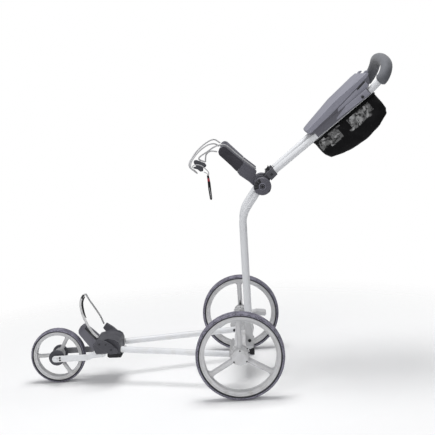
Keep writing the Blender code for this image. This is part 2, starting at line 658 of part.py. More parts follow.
toe_outline = prism("toe_outline", [toe_plan], 0.0, 0.060, "front_frame_axis", CHARCOAL,
                    TOE_FRAME, PLAN)
combine(toe, toe_outline, "INTERSECT")
trough_loop = circle((0.0, TOE_TOP - 0.0260), 0.0400, 32)
TROUGH_TURN = Matrix.Rotation(math.pi / 2, 4, "Z")
trough = prism("toe_trough", [trough_loop], 0.0, 0.110, "front_frame_axis", CHARCOAL,
               TOE_FRAME @ Matrix.Translation((0.0050, 0.0, 0.0)) @ TROUGH_TURN)
combine(toe, trough, "DIFFERENCE")

# strap over the bag's foot, from one wing tip to the other
STRAP_ROUTE = [(-0.4860, -0.1150, 0.1815), (-0.5050, -0.1125, 0.2020),
               (-0.5255, -0.0980, 0.2320), (-0.5420, -0.0760, 0.2640),
               (-0.5490, -0.0500, 0.2920), (-0.5440, -0.0200, 0.3090),
               (-0.5390, 0.0100, 0.3090), (-0.5400, 0.0380, 0.2960),
               (-0.5350, 0.0640, 0.2720), (-0.5230, 0.0880, 0.2400),
               (-0.5090, 0.1060, 0.2050), (-0.4990, 0.1155, 0.1720)]
STRAP_R, STRAP_TAB_R = 0.0030, 0.0025


def inner_line(path, reach):
    """The points moved square to the path, towards the inside of the loop in the side view."""
    found = []
    for before, here, after in zip(path, path[1:], path[2:]):
        ahead = after - before
        found.append(here + Vector((ahead.z, 0.0, -ahead.x)).normalized() * reach)
    return found


strap_path = smooth_path(STRAP_ROUTE, 0.0160)
rod("toe_strap", strap_path, STRAP_R, "front_frame_axis", CORD, 2)
backed = [point for point in strap_path if point.y < -0.010 and point.z > 0.215]
rod("strap_tab", inner_line(backed, STRAP_R + STRAP_TAB_R + 2 * GAP), STRAP_TAB_R,
    "front_frame_axis", BLACK, 2)

LATCH = [(-0.4700, 0.1045), (-0.4700, 0.0925), (-0.4640, 0.0890), (-0.4229, 0.0882),
         (-0.4129, 0.1045)]
latch = prism("latch_foot", [LATCH], 0.0, 0.0980, "latch_foot_axis", BLACK)
round_edges(latch, 0.0015, 1)

# ---------------------------------------------------------------- fork
FORK_SPINE = [(-0.6530, 0.0965), (-0.5440, 0.0970), (-0.5200, 0.1050), (-0.5080, FORK_Z),
              (FORK_X, FORK_Z)]
fork_loops = [band(FORK_SPINE, 0.022), circle((FRONT_X, FRONT_R), 0.0046, 16),
              circle((FORK_X, FORK_Z), 0.0046, 16)]
for side, sign in SIDES:
    prism(f"fork_arm_{side}", fork_loops, sign * FORK_ARM_Y, 0.0080, "fork_axis", WHITE)
arm_out = FORK_ARM_Y + 0.004 + GAP
turned("front_axle", [(0.0, arm_out + 0.004), (0.0065, arm_out + 0.004), (0.0065, arm_out),
                      (0.0040, arm_out), (0.0040, -arm_out), (0.0065, -arm_out),
                      (0.0065, -arm_out - 0.004), (0.0, -arm_out - 0.004)],
       (FRONT_X, 0.0, FRONT_R), 20, "fork_axis", WHITE, False)
cylinder("fork_pin", 0.0040, -0.0596, 0.0596, (FORK_X, FORK_Z), "front_frame_axis", STEEL, 20)

# ---------------------------------------------------------------- handle
COLLAR_TURN = math.radians(42.0)
way = Vector((math.cos(COLLAR_TURN), math.sin(COLLAR_TURN)))
across_way = Vector((-way.y, way.x))
COLLAR_NEAR, COLLAR_FAR, COLLAR_HALF = 0.0345, 0.0640, 0.0145
middle_line = Vector(JOINT) + across_way * 0.0050


def collar_corner(along, across):
    return tuple(middle_line + way * along + across_way * across)


for side, sign in SIDES:
    low, high = between(KNUCKLE_IN, KNUCKLE_OUT, sign)
    knuckle = ring(f"leg_collar_{side}", 0.0250, 0.0056, low, high, JOINT, "handle_axis",
                   CHARCOAL)
    neck_loop = [collar_corner(0.012, -0.011), collar_corner(0.012, 0.011),
                 collar_corner(COLLAR_NEAR + 0.004, 0.011),
                 collar_corner(COLLAR_NEAR + 0.004, -0.011)]
    neck = prism("collar_neck", [neck_loop], sign * 0.0460, 0.0190, "handle_axis", CHARCOAL)
    block_loop = [collar_corner(COLLAR_NEAR, -COLLAR_HALF), collar_corner(COLLAR_NEAR, COLLAR_HALF),
                  collar_corner(COLLAR_FAR, COLLAR_HALF), collar_corner(COLLAR_FAR, -COLLAR_HALF)]
    block = prism("collar_block", [block_loop], sign * 0.0545, 0.0275, "handle_axis", CHARCOAL)
    combine(knuckle, neck, "UNION")
    combine(knuckle, block, "UNION")

collar_end = middle_line + way * (COLLAR_FAR + 0.0030)
LEG_END_U, LEG_END_N = 0.3090, 0.0070
leg_end = on_leg(LEG_END_U, 0.0, LEG_END_N)
for side, sign in SIDES:
    start = (collar_end.x, sign * 0.0565, collar_end.y)
    path = bent_path([start, (LEG_FOOT.x, sign * 0.075, LEG_FOOT.z),
                      (0.4670, sign * 0.1680, 0.9660), (leg_end.x, sign * 0.1790, leg_end.z)],
                     0.25, 4)
    rod(f"handle_leg_{side}", path, TUBE_R, "handle_axis", WHITE, 4, TUBE_WALL)

leg_way = (Vector((leg_end.x, 0.1790, leg_end.z)) - Vector((0.4670, 0.1680, 0.9660))).normalized()
GRIP_R = 0.0195
GRIP_WALL = 0.0079                # foam over the bend of the handle bar
grip_start = Vector((leg_end.x, 0.1790, leg_end.z)) + leg_way * 0.0006
GRIP_HALF = [tuple(grip_start), tuple(grip_start + leg_way * 0.0160), (0.5205, 0.1670, 1.0290),
             (0.5255, 0.1400, 1.0490), (0.5225, 0.0800, 1.0640)]
grip_route = [(x, -y, z) for x, y, z in GRIP_HALF] + [(0.5205, 0.0, 1.0680)] + GRIP_HALF[::-1]
rod("handle_grip", smooth_path(grip_route, 0.020), GRIP_R, "handle_axis", GRIP, 4, GRIP_WALL)

# ---------------------------------------------------------------- wing nut on the joint
NUT_FRAME = Matrix.Translation((0.1262, -0.055, 0.7218)) @ Matrix.Rotation(-math.pi / 4, 4, "Y")
nut_loops = [[(-0.0095, 0.0090), (-0.0075, 0.0020), (-0.0030, 0.0005), (-0.0030, -0.0061),
              (0.0030, -0.0061), (0.0030, 0.0005), (0.0075, 0.0020), (0.0095, 0.0090),
              (0.0030, 0.0060), (-0.0030, 0.0060)]]
prism("joint_wing_nut", nut_loops, 0.0, 0.0050, "wing_nut_axis", BLACK, NUT_FRAME)

# ---------------------------------------------------------------- console
LEG_SPLAY = (0.168 - 0.075) / 0.2674


def leg_y(along):
    return 0.075 + LEG_SPLAY * along


BASE_FLOOR = 0.0150
SKIRT_IN, SKIRT_OUT = 0.0124, 0.0160
SIDE_BOUND = 0.200
parting = [(0.0300, 0.0190), (0.1300, 0.0250), (0.2350, 0.0360), (0.2950, 0.0440)]
base_profile = [(0.0330, BASE_FLOOR), (0.2690, BASE_FLOOR), (0.2850, 0.0270),
                *[(along, up) for along, up in parting[::-1]]]
lid_profile = [*[(along, up + GAP) for along, up in parting],
               (0.3000, 0.0480), (0.2960, 0.0535), (0.1640, 0.0506), (0.0287, 0.0340),
               (0.0262, 0.0260)]
plan_profile = [(0.0440, leg_y(0.044) + SKIRT_OUT), (0.0310, leg_y(0.031) + 0.006),
                (0.0240, leg_y(0.024) - 0.014), (0.0240, -leg_y(0.024) + 0.014),
                (0.0310, -leg_y(0.031) - 0.006), (0.0440, -leg_y(0.044) - SKIRT_OUT),
                (0.2800, -leg_y(0.280) - SKIRT_OUT + 0.006), (0.3050, -leg_y(0.280) + 0.012),
                (0.3050, leg_y(0.280) - 0.012), (0.2800, leg_y(0.280) + SKIRT_OUT - 0.006)]


def plan_block(name, loop, low, high):
    return prism(name, [loop], (low + high) / 2, high - low, "handle_axis", CHARCOAL,
                 LEG_FRAME, PLAN)


def inset_plan(low, high, margin):
    return [(low, leg_y(low) - margin), (low, -leg_y(low) + margin),
            (high, -leg_y(high) + margin), (high, leg_y(high) - margin)]


base = prism("console_base", [base_profile], 0.0, 2 * SIDE_BOUND, "handle_axis", CHARCOAL,
             LEG_FRAME)
combine(base, plan_block("base_plan", plan_profile, -0.02, 0.08), "INTERSECT")
combine(base, plan_block("base_pocket", inset_plan(0.044, 0.252, -0.0070), 0.0180, 0.07),
        "DIFFERENCE")
for sign in (-1, 1):
    skirt_loop = [(along, sign * (leg_y(along) + out)) for along, out in
                  ((0.045, SKIRT_IN), (0.262, SKIRT_IN), (0.262, SKIRT_OUT), (0.045, SKIRT_OUT))]
    combine(base, plan_block("base_skirt", skirt_loop, -0.0060, BASE_FLOOR + 0.002), "UNION")

lid = prism("console_lid", [lid_profile], 0.0, 2 * SIDE_BOUND, "lid_axis", LID_GREY, LEG_FRAME)
combine(lid, plan_block("lid_plan", plan_profile, -0.02, 0.08), "INTERSECT")
hollow_profile = [(0.0350, 0.0100), (0.0350, 0.0318), (0.1645, 0.0474), (0.2910, 0.0502),
                  (0.2910, 0.0100)]
hollow = prism("lid_hollow", [hollow_profile], 0.0, 0.400, "handle_axis", CHARCOAL, LEG_FRAME)
hollow_plan = [(0.0480, leg_y(0.048) + 0.0125), (0.0330, leg_y(0.033)), (0.0330, -leg_y(0.033)),
               (0.0480, -leg_y(0.048) - 0.0125), (0.2760, -leg_y(0.276) - 0.0065),
               (0.2960, -leg_y(0.276) + 0.0120), (0.2960, leg_y(0.276) - 0.0120),
               (0.2760, leg_y(0.276) + 0.0065)]
combine(hollow, plan_block("lid_hollow_plan", hollow_plan, -0.02, 0.08), "INTERSECT")
combine(lid, hollow, "DIFFERENCE")

# ---------------------------------------------------------------- net under the console
NET_LOW, NET_HIGH = 0.024, 0.276
NET_RIM_N = -0.0165


def net_half_width(along):
    return 0.088 + 0.235 * (along - NET_LOW)


def net_loop(inset, corner=0.022):
    """The rim's rounded plan, as points along the legs and across."""
    low, high = NET_LOW + inset, NET_HIGH - inset
    found = []
    for centre_u, turn, sign in ((high - corner, 0, 1), (low + corner, 90, 1),
                                 (low + corner, 180, -1), (high - corner, 270, -1)):
        centre_y = sign * (net_half_width(centre_u) - inset - corner)
        found += arc((centre_u, centre_y), corner, turn, turn + 90, 3)
    return found


rod("net_rim", [on_leg(along, across, NET_RIM_N) for along, across in net_loop(0.0)],
    0.0022, "handle_axis", NET, 2, closed=True)


def net_depth(along):
    """How far the net hangs below its rim: least at the low end, most past the middle."""
    t = (along - NET_LOW) / (NET_HIGH - NET_LOW)
    return 0.062 + 0.095 * t - 0.085 * t * t


def net_bag():
    """An open basin lofted from the rim down, thickened into a shell."""
    top = NET_RIM_N - 0.0025
    plan = net_loop(0.001)
    centre = Vector((sum(p[0] for p in plan) / len(plan), 0.0))
    levels = ((1.0, 0.0), (1.0, 0.45), (0.985, 0.76), (0.92, 0.93), (0.62, 1.0))
    shell = bmesh.new()
    rows = []
    for scale, depth in levels:
        row = []
        for along, across in plan:
            spot = centre + (Vector((along, across)) - centre) * scale
            row.append(shell.verts.new(on_leg(spot.x, spot.y, top - depth * net_depth(spot.x))))
        rows.append(row)
    count = len(plan)
    for upper, lower in zip(rows, rows[1:]):
        for index in range(count):
            following = (index + 1) % count
            shell.faces.new((upper[index], upper[following], lower[following], lower[index]))
    bottom = shell.verts.new(on_leg(centre.x, 0.0, top - net_depth(centre.x)))
    for index in range(count):
        shell.faces.new((rows[-1][index], rows[-1][(index + 1) % count], bottom))
    bmesh.ops.recalc_face_normals(shell, faces=shell.faces)
    mesh = bpy.data.meshes.new("net_bag")
    shell.to_mesh(mesh)
    shell.free()
    obj = place(bpy.data.objects.new("net_bag", mesh), "handle_axis", NET)
    thicken = obj.modifiers.new("fabric", "SOLIDIFY")
    thicken.thickness = 0.0015
    thicken.offset = 0.0
    return smooth(obj)


net_bag()
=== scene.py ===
"""Looks of a three-wheel golf push trolley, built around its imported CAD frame.

The front wheel is at -X, the handle at +X, the trolley's left side at -Y.
Side-view places are measured from the rear axle line on the ground, which the frame gives.
"""
import json
import math

import bmesh
import bpy
from mathutils import Matrix, Vector, noise
from mathutils.geometry import tessellate_polygon

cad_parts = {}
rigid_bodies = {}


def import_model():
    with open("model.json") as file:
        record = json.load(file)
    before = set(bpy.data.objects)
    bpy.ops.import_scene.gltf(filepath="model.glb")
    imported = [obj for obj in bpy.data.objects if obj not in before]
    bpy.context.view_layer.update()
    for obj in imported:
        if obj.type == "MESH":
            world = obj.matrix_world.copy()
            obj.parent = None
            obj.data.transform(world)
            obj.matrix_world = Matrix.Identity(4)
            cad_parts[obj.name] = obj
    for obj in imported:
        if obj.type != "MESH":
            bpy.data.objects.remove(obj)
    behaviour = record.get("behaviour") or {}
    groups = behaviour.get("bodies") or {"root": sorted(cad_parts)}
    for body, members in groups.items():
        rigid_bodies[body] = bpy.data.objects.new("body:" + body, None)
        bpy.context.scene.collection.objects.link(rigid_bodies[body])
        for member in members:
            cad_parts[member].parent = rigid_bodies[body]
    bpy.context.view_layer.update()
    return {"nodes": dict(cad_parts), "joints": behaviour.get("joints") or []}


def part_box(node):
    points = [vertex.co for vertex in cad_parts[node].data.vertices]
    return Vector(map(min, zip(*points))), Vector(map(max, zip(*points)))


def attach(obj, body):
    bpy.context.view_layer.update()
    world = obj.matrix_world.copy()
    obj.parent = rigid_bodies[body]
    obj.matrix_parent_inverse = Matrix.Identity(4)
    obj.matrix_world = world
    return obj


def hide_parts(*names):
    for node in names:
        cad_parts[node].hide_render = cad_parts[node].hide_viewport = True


for item in list(bpy.data.objects):
    bpy.data.objects.remove(item, do_unlink=True)

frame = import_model()
scene = bpy.context.scene
scene.view_settings.view_transform = "Standard"

# ---------------------------------------------------------------- places from the frame
SIDES = (("left", -1), ("right", 1))
PIVOT = {joint["name"]: Vector(joint["pos_m"]) for joint in frame["joints"]}
AXLE_X = PIVOT["rear_wheel_left_spin"].x
REAR_R = PIVOT["rear_wheel_left_spin"].z
FRONT_R = PIVOT["front_wheel_spin"].z
HALF_TRACK = abs(PIVOT["rear_wheel_left_spin"].y)
FOLD_X = PIVOT["front_frame_fold"].x - AXLE_X
FOLD_Z = PIVOT["front_frame_fold"].z
LEG_SLOPE = math.radians(38.3)
LEG_HALF_GAP, LEG_SPLAY = 0.075, 0.3478
COLLAR_TURN = math.radians(42.0)


def at(x, y, z):
    """A point given from the rear axle line on the ground."""
    return Vector((AXLE_X + x, y, z))


LEG_FRAME = Matrix.Translation(at(0.2586, 0.0, 0.7985)) @ Matrix.Rotation(-LEG_SLOPE, 4, "Y")


def on_leg(along, across, above):
    """A point given along the handle legs, across the trolley and square above the legs."""
    return LEG_FRAME @ Vector((along, across, above))


# ---------------------------------------------------------------- camera, light, floor
def set_camera():
    pitch, yaw, roll = math.radians(7.88), math.radians(-1.98), math.radians(-3.5)
    ahead = Vector((math.sin(yaw) * math.cos(pitch), math.cos(yaw) * math.cos(pitch),
                    -math.sin(pitch)))
    right = Vector((math.cos(yaw), -math.sin(yaw), 0.0))
    up = right.cross(ahead)
    side = right * math.cos(roll) + up * math.sin(roll)
    top = up * math.cos(roll) - right * math.sin(roll)
    data = bpy.data.cameras.new("camera")
    data.lens = 81.0
    data.sensor_width = 36.0
    camera = bpy.data.objects.new("camera", data)
    scene.collection.objects.link(camera)
    turn = Matrix((side, top, -ahead)).transposed()
    camera.matrix_world = Matrix.Translation(at(0.05995, -3.36859, 1.02399)) @ turn.to_4x4()
    scene.camera = camera


def softbox(name, place, aim, size, power, colour=(1.0, 1.0, 1.0)):
    data = bpy.data.lights.new(name, "AREA")
    data.shape = "RECTANGLE"
    data.size, data.size_y = size
    data.energy = power
    data.color = colour
    light = bpy.data.objects.new(name, data)
    scene.collection.objects.link(light)
    light.location = place
    light.rotation_euler = (Vector(aim) - Vector(place)).to_track_quat("-Z", "Y").to_euler()


def set_world():
    world = bpy.data.worlds.new("studio")
    scene.world = world
    world.use_nodes = True
    nodes, links = world.node_tree.nodes, world.node_tree.links
    seen = nodes["Background"]
    seen.inputs["Color"].default_value = (1.0, 1.0, 1.0, 1.0)
    seen.inputs["Strength"].default_value = 1.0
    lit = nodes.new("ShaderNodeBackground")
    lit.inputs["Color"].default_value = (0.97, 0.98, 1.0, 1.0)
    lit.inputs["Strength"].default_value = 0.36
    path = nodes.new("ShaderNodeLightPath")
    choose = nodes.new("ShaderNodeMixShader")
    links.new(path.outputs["Is Camera Ray"], choose.inputs[0])
    links.new(lit.outputs[0], choose.inputs[1])
    links.new(seen.outputs[0], choose.inputs[2])
    links.new(choose.outputs[0], nodes["World Output"].inputs["Surface"])


def set_floor():
    """A pale round floor that fades into the white studio at its edge."""
    shape = bmesh.new()
    bmesh.ops.create_circle(shape, cap_ends=True, segments=96, radius=6.0)
    mesh = bpy.data.meshes.new("floor")
    shape.to_mesh(mesh)
    shape.free()
    floor = bpy.data.objects.new("floor", mesh)
    scene.collection.objects.link(floor)
    floor.location.z = -0.0005
    paint = bpy.data.materials.new("studio_floor")
    paint.use_nodes = True
    nodes, links = paint.node_tree.nodes, paint.node_tree.links
    shader = nodes["Principled BSDF"]
    shader.inputs["Base Color"].default_value = (0.96, 0.96, 0.962, 1.0)
    shader.inputs["Roughness"].default_value = 0.9
    shader.inputs["Specular IOR Level"].default_value = 0.1
    shader.inputs["Emission Color"].default_value = (1.0, 1.0, 1.0, 1.0)
    shader.inputs["Emission Strength"].default_value = 0.0
    place = nodes.new("ShaderNodeTexCoord")
    reach = nodes.new("ShaderNodeVectorMath")
    reach.operation = "LENGTH"
    fade = nodes.new("ShaderNodeMapRange")
    fade.inputs["From Min"].default_value = 0.7
    fade.inputs["From Max"].default_value = 1.6
    clear = nodes.new("ShaderNodeBsdfTransparent")
    choose = nodes.new("ShaderNodeMixShader")
    links.new(place.outputs["Object"], reach.inputs[0])
    links.new(reach.outputs["Value"], fade.inputs["Value"])
    links.new(fade.outputs["Result"], choose.inputs[0])
    links.new(shader.outputs[0], choose.inputs[1])
    links.new(clear.outputs[0], choose.inputs[2])
    links.new(choose.outputs[0], nodes["Material Output"].inputs["Surface"])
    floor.data.materials.append(paint)


set_camera()
set_world()
set_floor()
softbox("top_light", (0.0, 0.0, 3.6), (0.0, 0.0, 0.3), (2.0, 1.6), 78)
softbox("front_light", (-1.4, -3.8, 1.7), (0.0, 0.0, 0.5), (1.8, 1.8), 52)
softbox("back_light", (2.6, 2.8, 2.4), (0.0, 0.0, 0.5), (1.8, 1.8), 14)


# ---------------------------------------------------------------- materials
class Look:
    """Builds one procedural material: its colour, roughness and relief are layered by methods."""

    def __init__(self, name, colour, roughness, slot, metallic=0.0, coat=0.0, sheen=0.0,
                 gloss=0.5):
        self.slot = slot
        self.material = bpy.data.materials.new(name)
        self.material.use_nodes = True
        self.nodes = self.material.node_tree.nodes
        self.links = self.material.node_tree.links
        self.shader = self.nodes["Principled BSDF"]
        self.shader.inputs["Base Color"].default_value = (*colour, 1.0)
        self.shader.inputs["Roughness"].default_value = roughness
        self.shader.inputs["Metallic"].default_value = metallic
        self.shader.inputs["Specular IOR Level"].default_value = gloss
        self.shader.inputs["Coat Weight"].default_value = coat
        self.shader.inputs["Coat Roughness"].default_value = 0.2
        self.shader.inputs["Sheen Weight"].default_value = sheen
        self.shader.inputs["Sheen Roughness"].default_value = 0.45
        self.colour, self.roughness = colour, roughness
        self.place = self.nodes.new("ShaderNodeTexCoord")
        self.colour_from = None
        self.normal_from = None

    def node(self, kind, **values):
        made = self.nodes.new(kind)
        for key, value in values.items():
            made.inputs[key.replace("_", " ")].default_value = value
        return made

    def noise(self, scale, detail=4.0, source="Object", stretch=None):
        made = self.node("ShaderNodeTexNoise", Scale=scale, Detail=detail)
        start = self.place.outputs[source]
        if stretch:
            squeeze = self.node("ShaderNodeMapping")
            squeeze.inputs["Scale"].default_value = stretch
            self.links.new(start, squeeze.inputs["Vector"])
            start = squeeze.outputs[0]
        self.links.new(start, made.inputs["Vector"])
        return made.outputs["Fac"]

    def ramp(self, source, low, high):
        made = self.node("ShaderNodeMapRange", From_Min=low, From_Max=high)
        self.links.new(source, made.inputs["Value"])
        return made.outputs["Result"]

    def tint(self, amount, colour):
        """Mixes another colour in where amount says."""
        mix = self.nodes.new("ShaderNodeMix")
        mix.data_type = "RGBA"
        if self.colour_from is None:
            mix.inputs["A"].default_value = (*self.colour, 1.0)
        else:
            self.links.new(self.colour_from, mix.inputs["A"])
        mix.inputs["B"].default_value = (*colour, 1.0)
        self.links.new(amount, mix.inputs["Factor"])
        self.colour_from = mix.outputs["Result"]
        self.links.new(self.colour_from, self.shader.inputs["Base Color"])
        return self

    def mottle(self, scale, colour, low=0.45, high=0.75, stretch=None):
        return self.tint(self.ramp(self.noise(scale, stretch=stretch), low, high), colour)

    def dust(self, colour, low=0.02, high=0.35):
        """Dust that settles low down, near the ground."""
        split = self.nodes.new("ShaderNodeSeparateXYZ")
        self.links.new(self.place.outputs["Object"], split.inputs[0])
        level = self.ramp(split.outputs["Z"], high, low)
        times = self.nodes.new("ShaderNodeMath")
        times.operation = "MULTIPLY"
        self.links.new(level, times.inputs[0])
        self.links.new(self.ramp(self.noise(35.0), 0.45, 0.85), times.inputs[1])
        return self.tint(times.outputs[0], colour)

    def edge_wear(self, colour, low=0.53, high=0.60):
        shape = self.nodes.new("ShaderNodeNewGeometry")
        return self.tint(self.ramp(shape.outputs["Pointiness"], low, high), colour)

    def uneven_gloss(self, scale, spread):
        made = self.node("ShaderNodeMapRange", From_Min=0.3, From_Max=0.7,
                         To_Min=self.roughness - spread, To_Max=self.roughness + spread)
        self.links.new(self.noise(scale), made.inputs["Value"])
        self.links.new(made.outputs["Result"], self.shader.inputs["Roughness"])
        return self

    def relief(self, height, strength, distance):
        bump = self.node("ShaderNodeBump", Strength=strength, Distance=distance)
        self.links.new(height, bump.inputs["Height"])
        if self.normal_from is not None:
            self.links.new(self.normal_from, bump.inputs["Normal"])
        self.normal_from = bump.outputs["Normal"]
        self.links.new(self.normal_from, self.shader.inputs["Normal"])
        return self

    def grain(self, scale, strength, distance=0.0004, stretch=None):
        return self.relief(self.noise(scale, 2.0, stretch=stretch), strength, distance)

    def braid(self, across, along, strength, distance=0.0004):
        """Crossed diagonal threads, from a tube's own around and along coordinates."""
        waves = []
        for lean in (1, -1):
            turn = self.node("ShaderNodeMapping")
            turn.inputs["Scale"].default_value = (across, along * lean, 1.0)
            self.links.new(self.place.outputs["UV"], turn.inputs["Vector"])
            wave = self.node("ShaderNodeTexWave", Scale=1.0, Distortion=0.0)
            wave.bands_direction = "DIAGONAL"
            self.links.new(turn.outputs[0], wave.inputs["Vector"])
            waves.append(wave.outputs["Fac"])
        both = self.nodes.new("ShaderNodeMath")
        both.operation = "MAXIMUM"
        self.links.new(waves[0], both.inputs[0])
        self.links.new(waves[1], both.inputs[1])
        self.weave = both.outputs[0]
        return self.relief(self.weave, strength, distance)

    def blocks(self, width, height, gap, strength, distance, dark):
        """Staggered blocks, from the tyre's own around and across coordinates in metres; the grooves
        between them get the dark colour as painted shade.
        """
        brick = self.node("ShaderNodeTexBrick", Scale=1.0, Mortar_Size=gap, Mortar_Smooth=0.3,
                          Brick_Width=width, Row_Height=height)
        brick.inputs["Color1"].default_value = (1.0, 1.0, 1.0, 1.0)
        brick.inputs["Color2"].default_value = (0.9, 0.9, 0.9, 1.0)
        brick.inputs["Mortar"].default_value = (0.0, 0.0, 0.0, 1.0)
        self.links.new(self.place.outputs["UV"], brick.inputs["Vector"])
        self.relief(brick.outputs["Color"], strength, distance)
        # painted shade: the tread grooves (the brick mortar) are tinted dark
        return self.tint(brick.outputs["Fac"], dark)


def make_looks():
    looks = {}
    looks["paint"] = (Look("satin_white_paint", (0.76, 0.77, 0.79), 0.34, "white_frame", coat=0.1)
                      .mottle(9.0, (0.72, 0.73, 0.76))
                      .dust((0.66, 0.65, 0.62)).uneven_gloss(22.0, 0.06)
                      .grain(140.0, 0.04, 0.0003))
    looks["silver"] = (Look("silver_moulding", (0.60, 0.60, 0.61), 0.42, "silver_plastic")
                       .mottle(14.0, (0.55, 0.55, 0.565)).edge_wear((0.68, 0.68, 0.69))
                       .dust((0.38, 0.37, 0.355)).uneven_gloss(40.0, 0.07)
                       .grain(1500.0, 0.18, 0.0002))
    looks["arm"] = (Look("light_charcoal_moulding", (0.105, 0.103, 0.124), 0.44,
                         "charcoal_plastic", gloss=0.4)
                    .mottle(18.0, (0.086, 0.084, 0.102)).edge_wear((0.17, 0.17, 0.20))
                    .uneven_gloss(30.0, 0.08).grain(1100.0, 0.3, 0.0003))
    # painted shade: the web is a darker silver than the spokes so that their edges read as shaded
    # ledges
    looks["web"] = (Look("silver_web_painted_shade", (0.52, 0.52, 0.535), 0.48, "silver_plastic")
                    .mottle(14.0, (0.47, 0.47, 0.485)).uneven_gloss(40.0, 0.07)
                    .grain(1500.0, 0.18, 0.0002))
    looks["charcoal"] = (Look("charcoal_moulding", (0.066, 0.066, 0.078), 0.46,
                              "charcoal_plastic", gloss=0.35)
                         .mottle(18.0, (0.052, 0.052, 0.062)).edge_wear((0.12, 0.12, 0.135))
                         .uneven_gloss(30.0, 0.08).grain(1100.0, 0.35, 0.0003))
    # a darker grey look for the fork arms' faces turned towards the middle of the trolley
    looks["arm_grey"] = (Look("darker_grey_inner_faces", (0.20, 0.20, 0.215), 0.36, "charcoal_plastic")
                         .mottle(9.0, (0.17, 0.17, 0.185)).uneven_gloss(22.0, 0.06)
                         .grain(300.0, 0.08, 0.0003))
    looks["pad"] = (Look("dark_satin_moulding", (0.052, 0.049, 0.060), 0.60, "charcoal_plastic",
                         gloss=0.3)
                    .mottle(25.0, (0.036, 0.034, 0.042)).edge_wear((0.10, 0.10, 0.112))
                    .uneven_gloss(30.0, 0.06).grain(600.0, 0.45, 0.0004))
    looks["lid"] = (Look("lavender_grey_moulding", (0.255, 0.255, 0.31), 0.38, "lid_grey",
                         gloss=0.45)
                    .mottle(11.0, (0.225, 0.225, 0.275)).edge_wear((0.34, 0.34, 0.40))
                    .uneven_gloss(26.0, 0.07).grain(1300.0, 0.25, 0.00025))
    looks["black"] = (Look("black_moulding", (0.011, 0.011, 0.013), 0.42, "black_plastic",
                           gloss=0.3)
                      .mottle(30.0, (0.018, 0.018, 0.021)).edge_wear((0.045, 0.045, 0.05))
                      .uneven_gloss(40.0, 0.08).grain(1200.0, 0.25, 0.0002))
    # the tread's dark block colour is painted shade in its grooves
    looks["tread"] = (Look("tyre_tread", (0.215, 0.207, 0.262), 0.78, "tyre_rubber", gloss=0.3)
                      .blocks(0.011, 0.0062, 0.0011, 0.8, 0.0008, (0.045, 0.043, 0.052))
                      .mottle(60.0, (0.28, 0.27, 0.335), 0.40, 0.70).grain(900.0, 0.5, 0.0005))
    looks["sidewall"] = (Look("tyre_sidewall", (0.034, 0.034, 0.040), 0.66, "tyre_rubber",
                              gloss=0.3)
                         .mottle(40.0, (0.048, 0.047, 0.054)).edge_wear((0.09, 0.09, 0.10))
                         .uneven_gloss(50.0, 0.08).grain(1400.0, 0.3, 0.0003))
    looks["grip"] = (Look("grip_foam_rubber", (0.140, 0.145, 0.160), 0.72, "grip_rubber",
                          sheen=0.2, gloss=0.3)
                     .mottle(40.0, (0.112, 0.116, 0.128)).uneven_gloss(60.0, 0.06)
                     .grain(420.0, 0.30, 0.0007).grain(1800.0, 0.45, 0.0003))
    looks["steel"] = (Look("turned_steel", (0.56, 0.56, 0.57), 0.30, "steel", metallic=1.0)
                      .mottle(20.0, (0.46, 0.46, 0.47)).uneven_gloss(60.0, 0.08)
                      .grain(300.0, 0.15, 0.0001, stretch=(1.0, 12.0, 1.0)))
    looks["cloth"] = (Look("black_net_cloth", (0.008, 0.008, 0.0085), 0.9, "net_fabric",
                           sheen=0.04, gloss=0.1)
                      .mottle(25.0, (0.014, 0.014, 0.015)).grain(90.0, 0.35, 0.0012)
                      .grain(900.0, 0.8, 0.0005))
    looks["cord"] = (Look("braided_elastic_cord", (0.50, 0.50, 0.51), 0.72, "elastic_cord",
                          sheen=0.1, gloss=0.35)
                     .braid(4.0, 420.0, 0.5).mottle(120.0, (0.40, 0.40, 0.41)))
    looks["strap"] = (Look("toe_strap_braid", (0.56, 0.56, 0.565), 0.66, "elastic_cord",
                           sheen=0.1, gloss=0.35)
                      .braid(6.0, 380.0, 0.6).mottle(90.0, (0.37, 0.37, 0.375)))
    looks["webbing"] = (Look("black_webbing", (0.010, 0.010, 0.011), 0.85, "net_fabric",
                             sheen=0.05, gloss=0.2)
                        .mottle(80.0, (0.019, 0.019, 0.021)).grain(1000.0, 0.9, 0.0005))
    looks["red"] = (Look("red_patch", (0.42, 0.045, 0.065), 0.6, "net_fabric", gloss=0.3)
                    .mottle(150.0, (0.33, 0.03, 0.05)).grain(1200.0, 0.5, 0.0003))
    return looks


def mesh_window_look():
    """Grey open mesh: fine dark holes, crumpled folds in bumps, and lighter and darker blotches of
    painted light and painted shade on the folds.
    """
    look = Look("grey_net_mesh", (0.17, 0.17, 0.17), 0.85, "net_fabric", sheen=0.05, gloss=0.2)
    # painted light and painted shade: these lighter and darker blotches stand for the lit and shaded
    # sides of the folds
    look.mottle(70.0, (0.42, 0.42, 0.42), 0.52, 0.62, stretch=(1.0, 1.0, 0.6))
    look.mottle(95.0, (0.03, 0.03, 0.03), 0.50, 0.60, stretch=(1.0, 0.6, 1.0))
    cells = look.node("ShaderNodeTexVoronoi", Scale=420.0)
    look.links.new(look.place.outputs["Object"], cells.inputs["Vector"])
    hole = look.ramp(cells.outputs["Distance"], 0.34, 0.18)
    look.tint(hole, (0.05, 0.05, 0.05))
    look.relief(hole, 0.6, -0.0005)
    return look.grain(60.0, 0.8, 0.004, stretch=(1.0, 1.0, 0.5))


LOOKS = make_looks()
LOOKS["mesh"] = mesh_window_look()


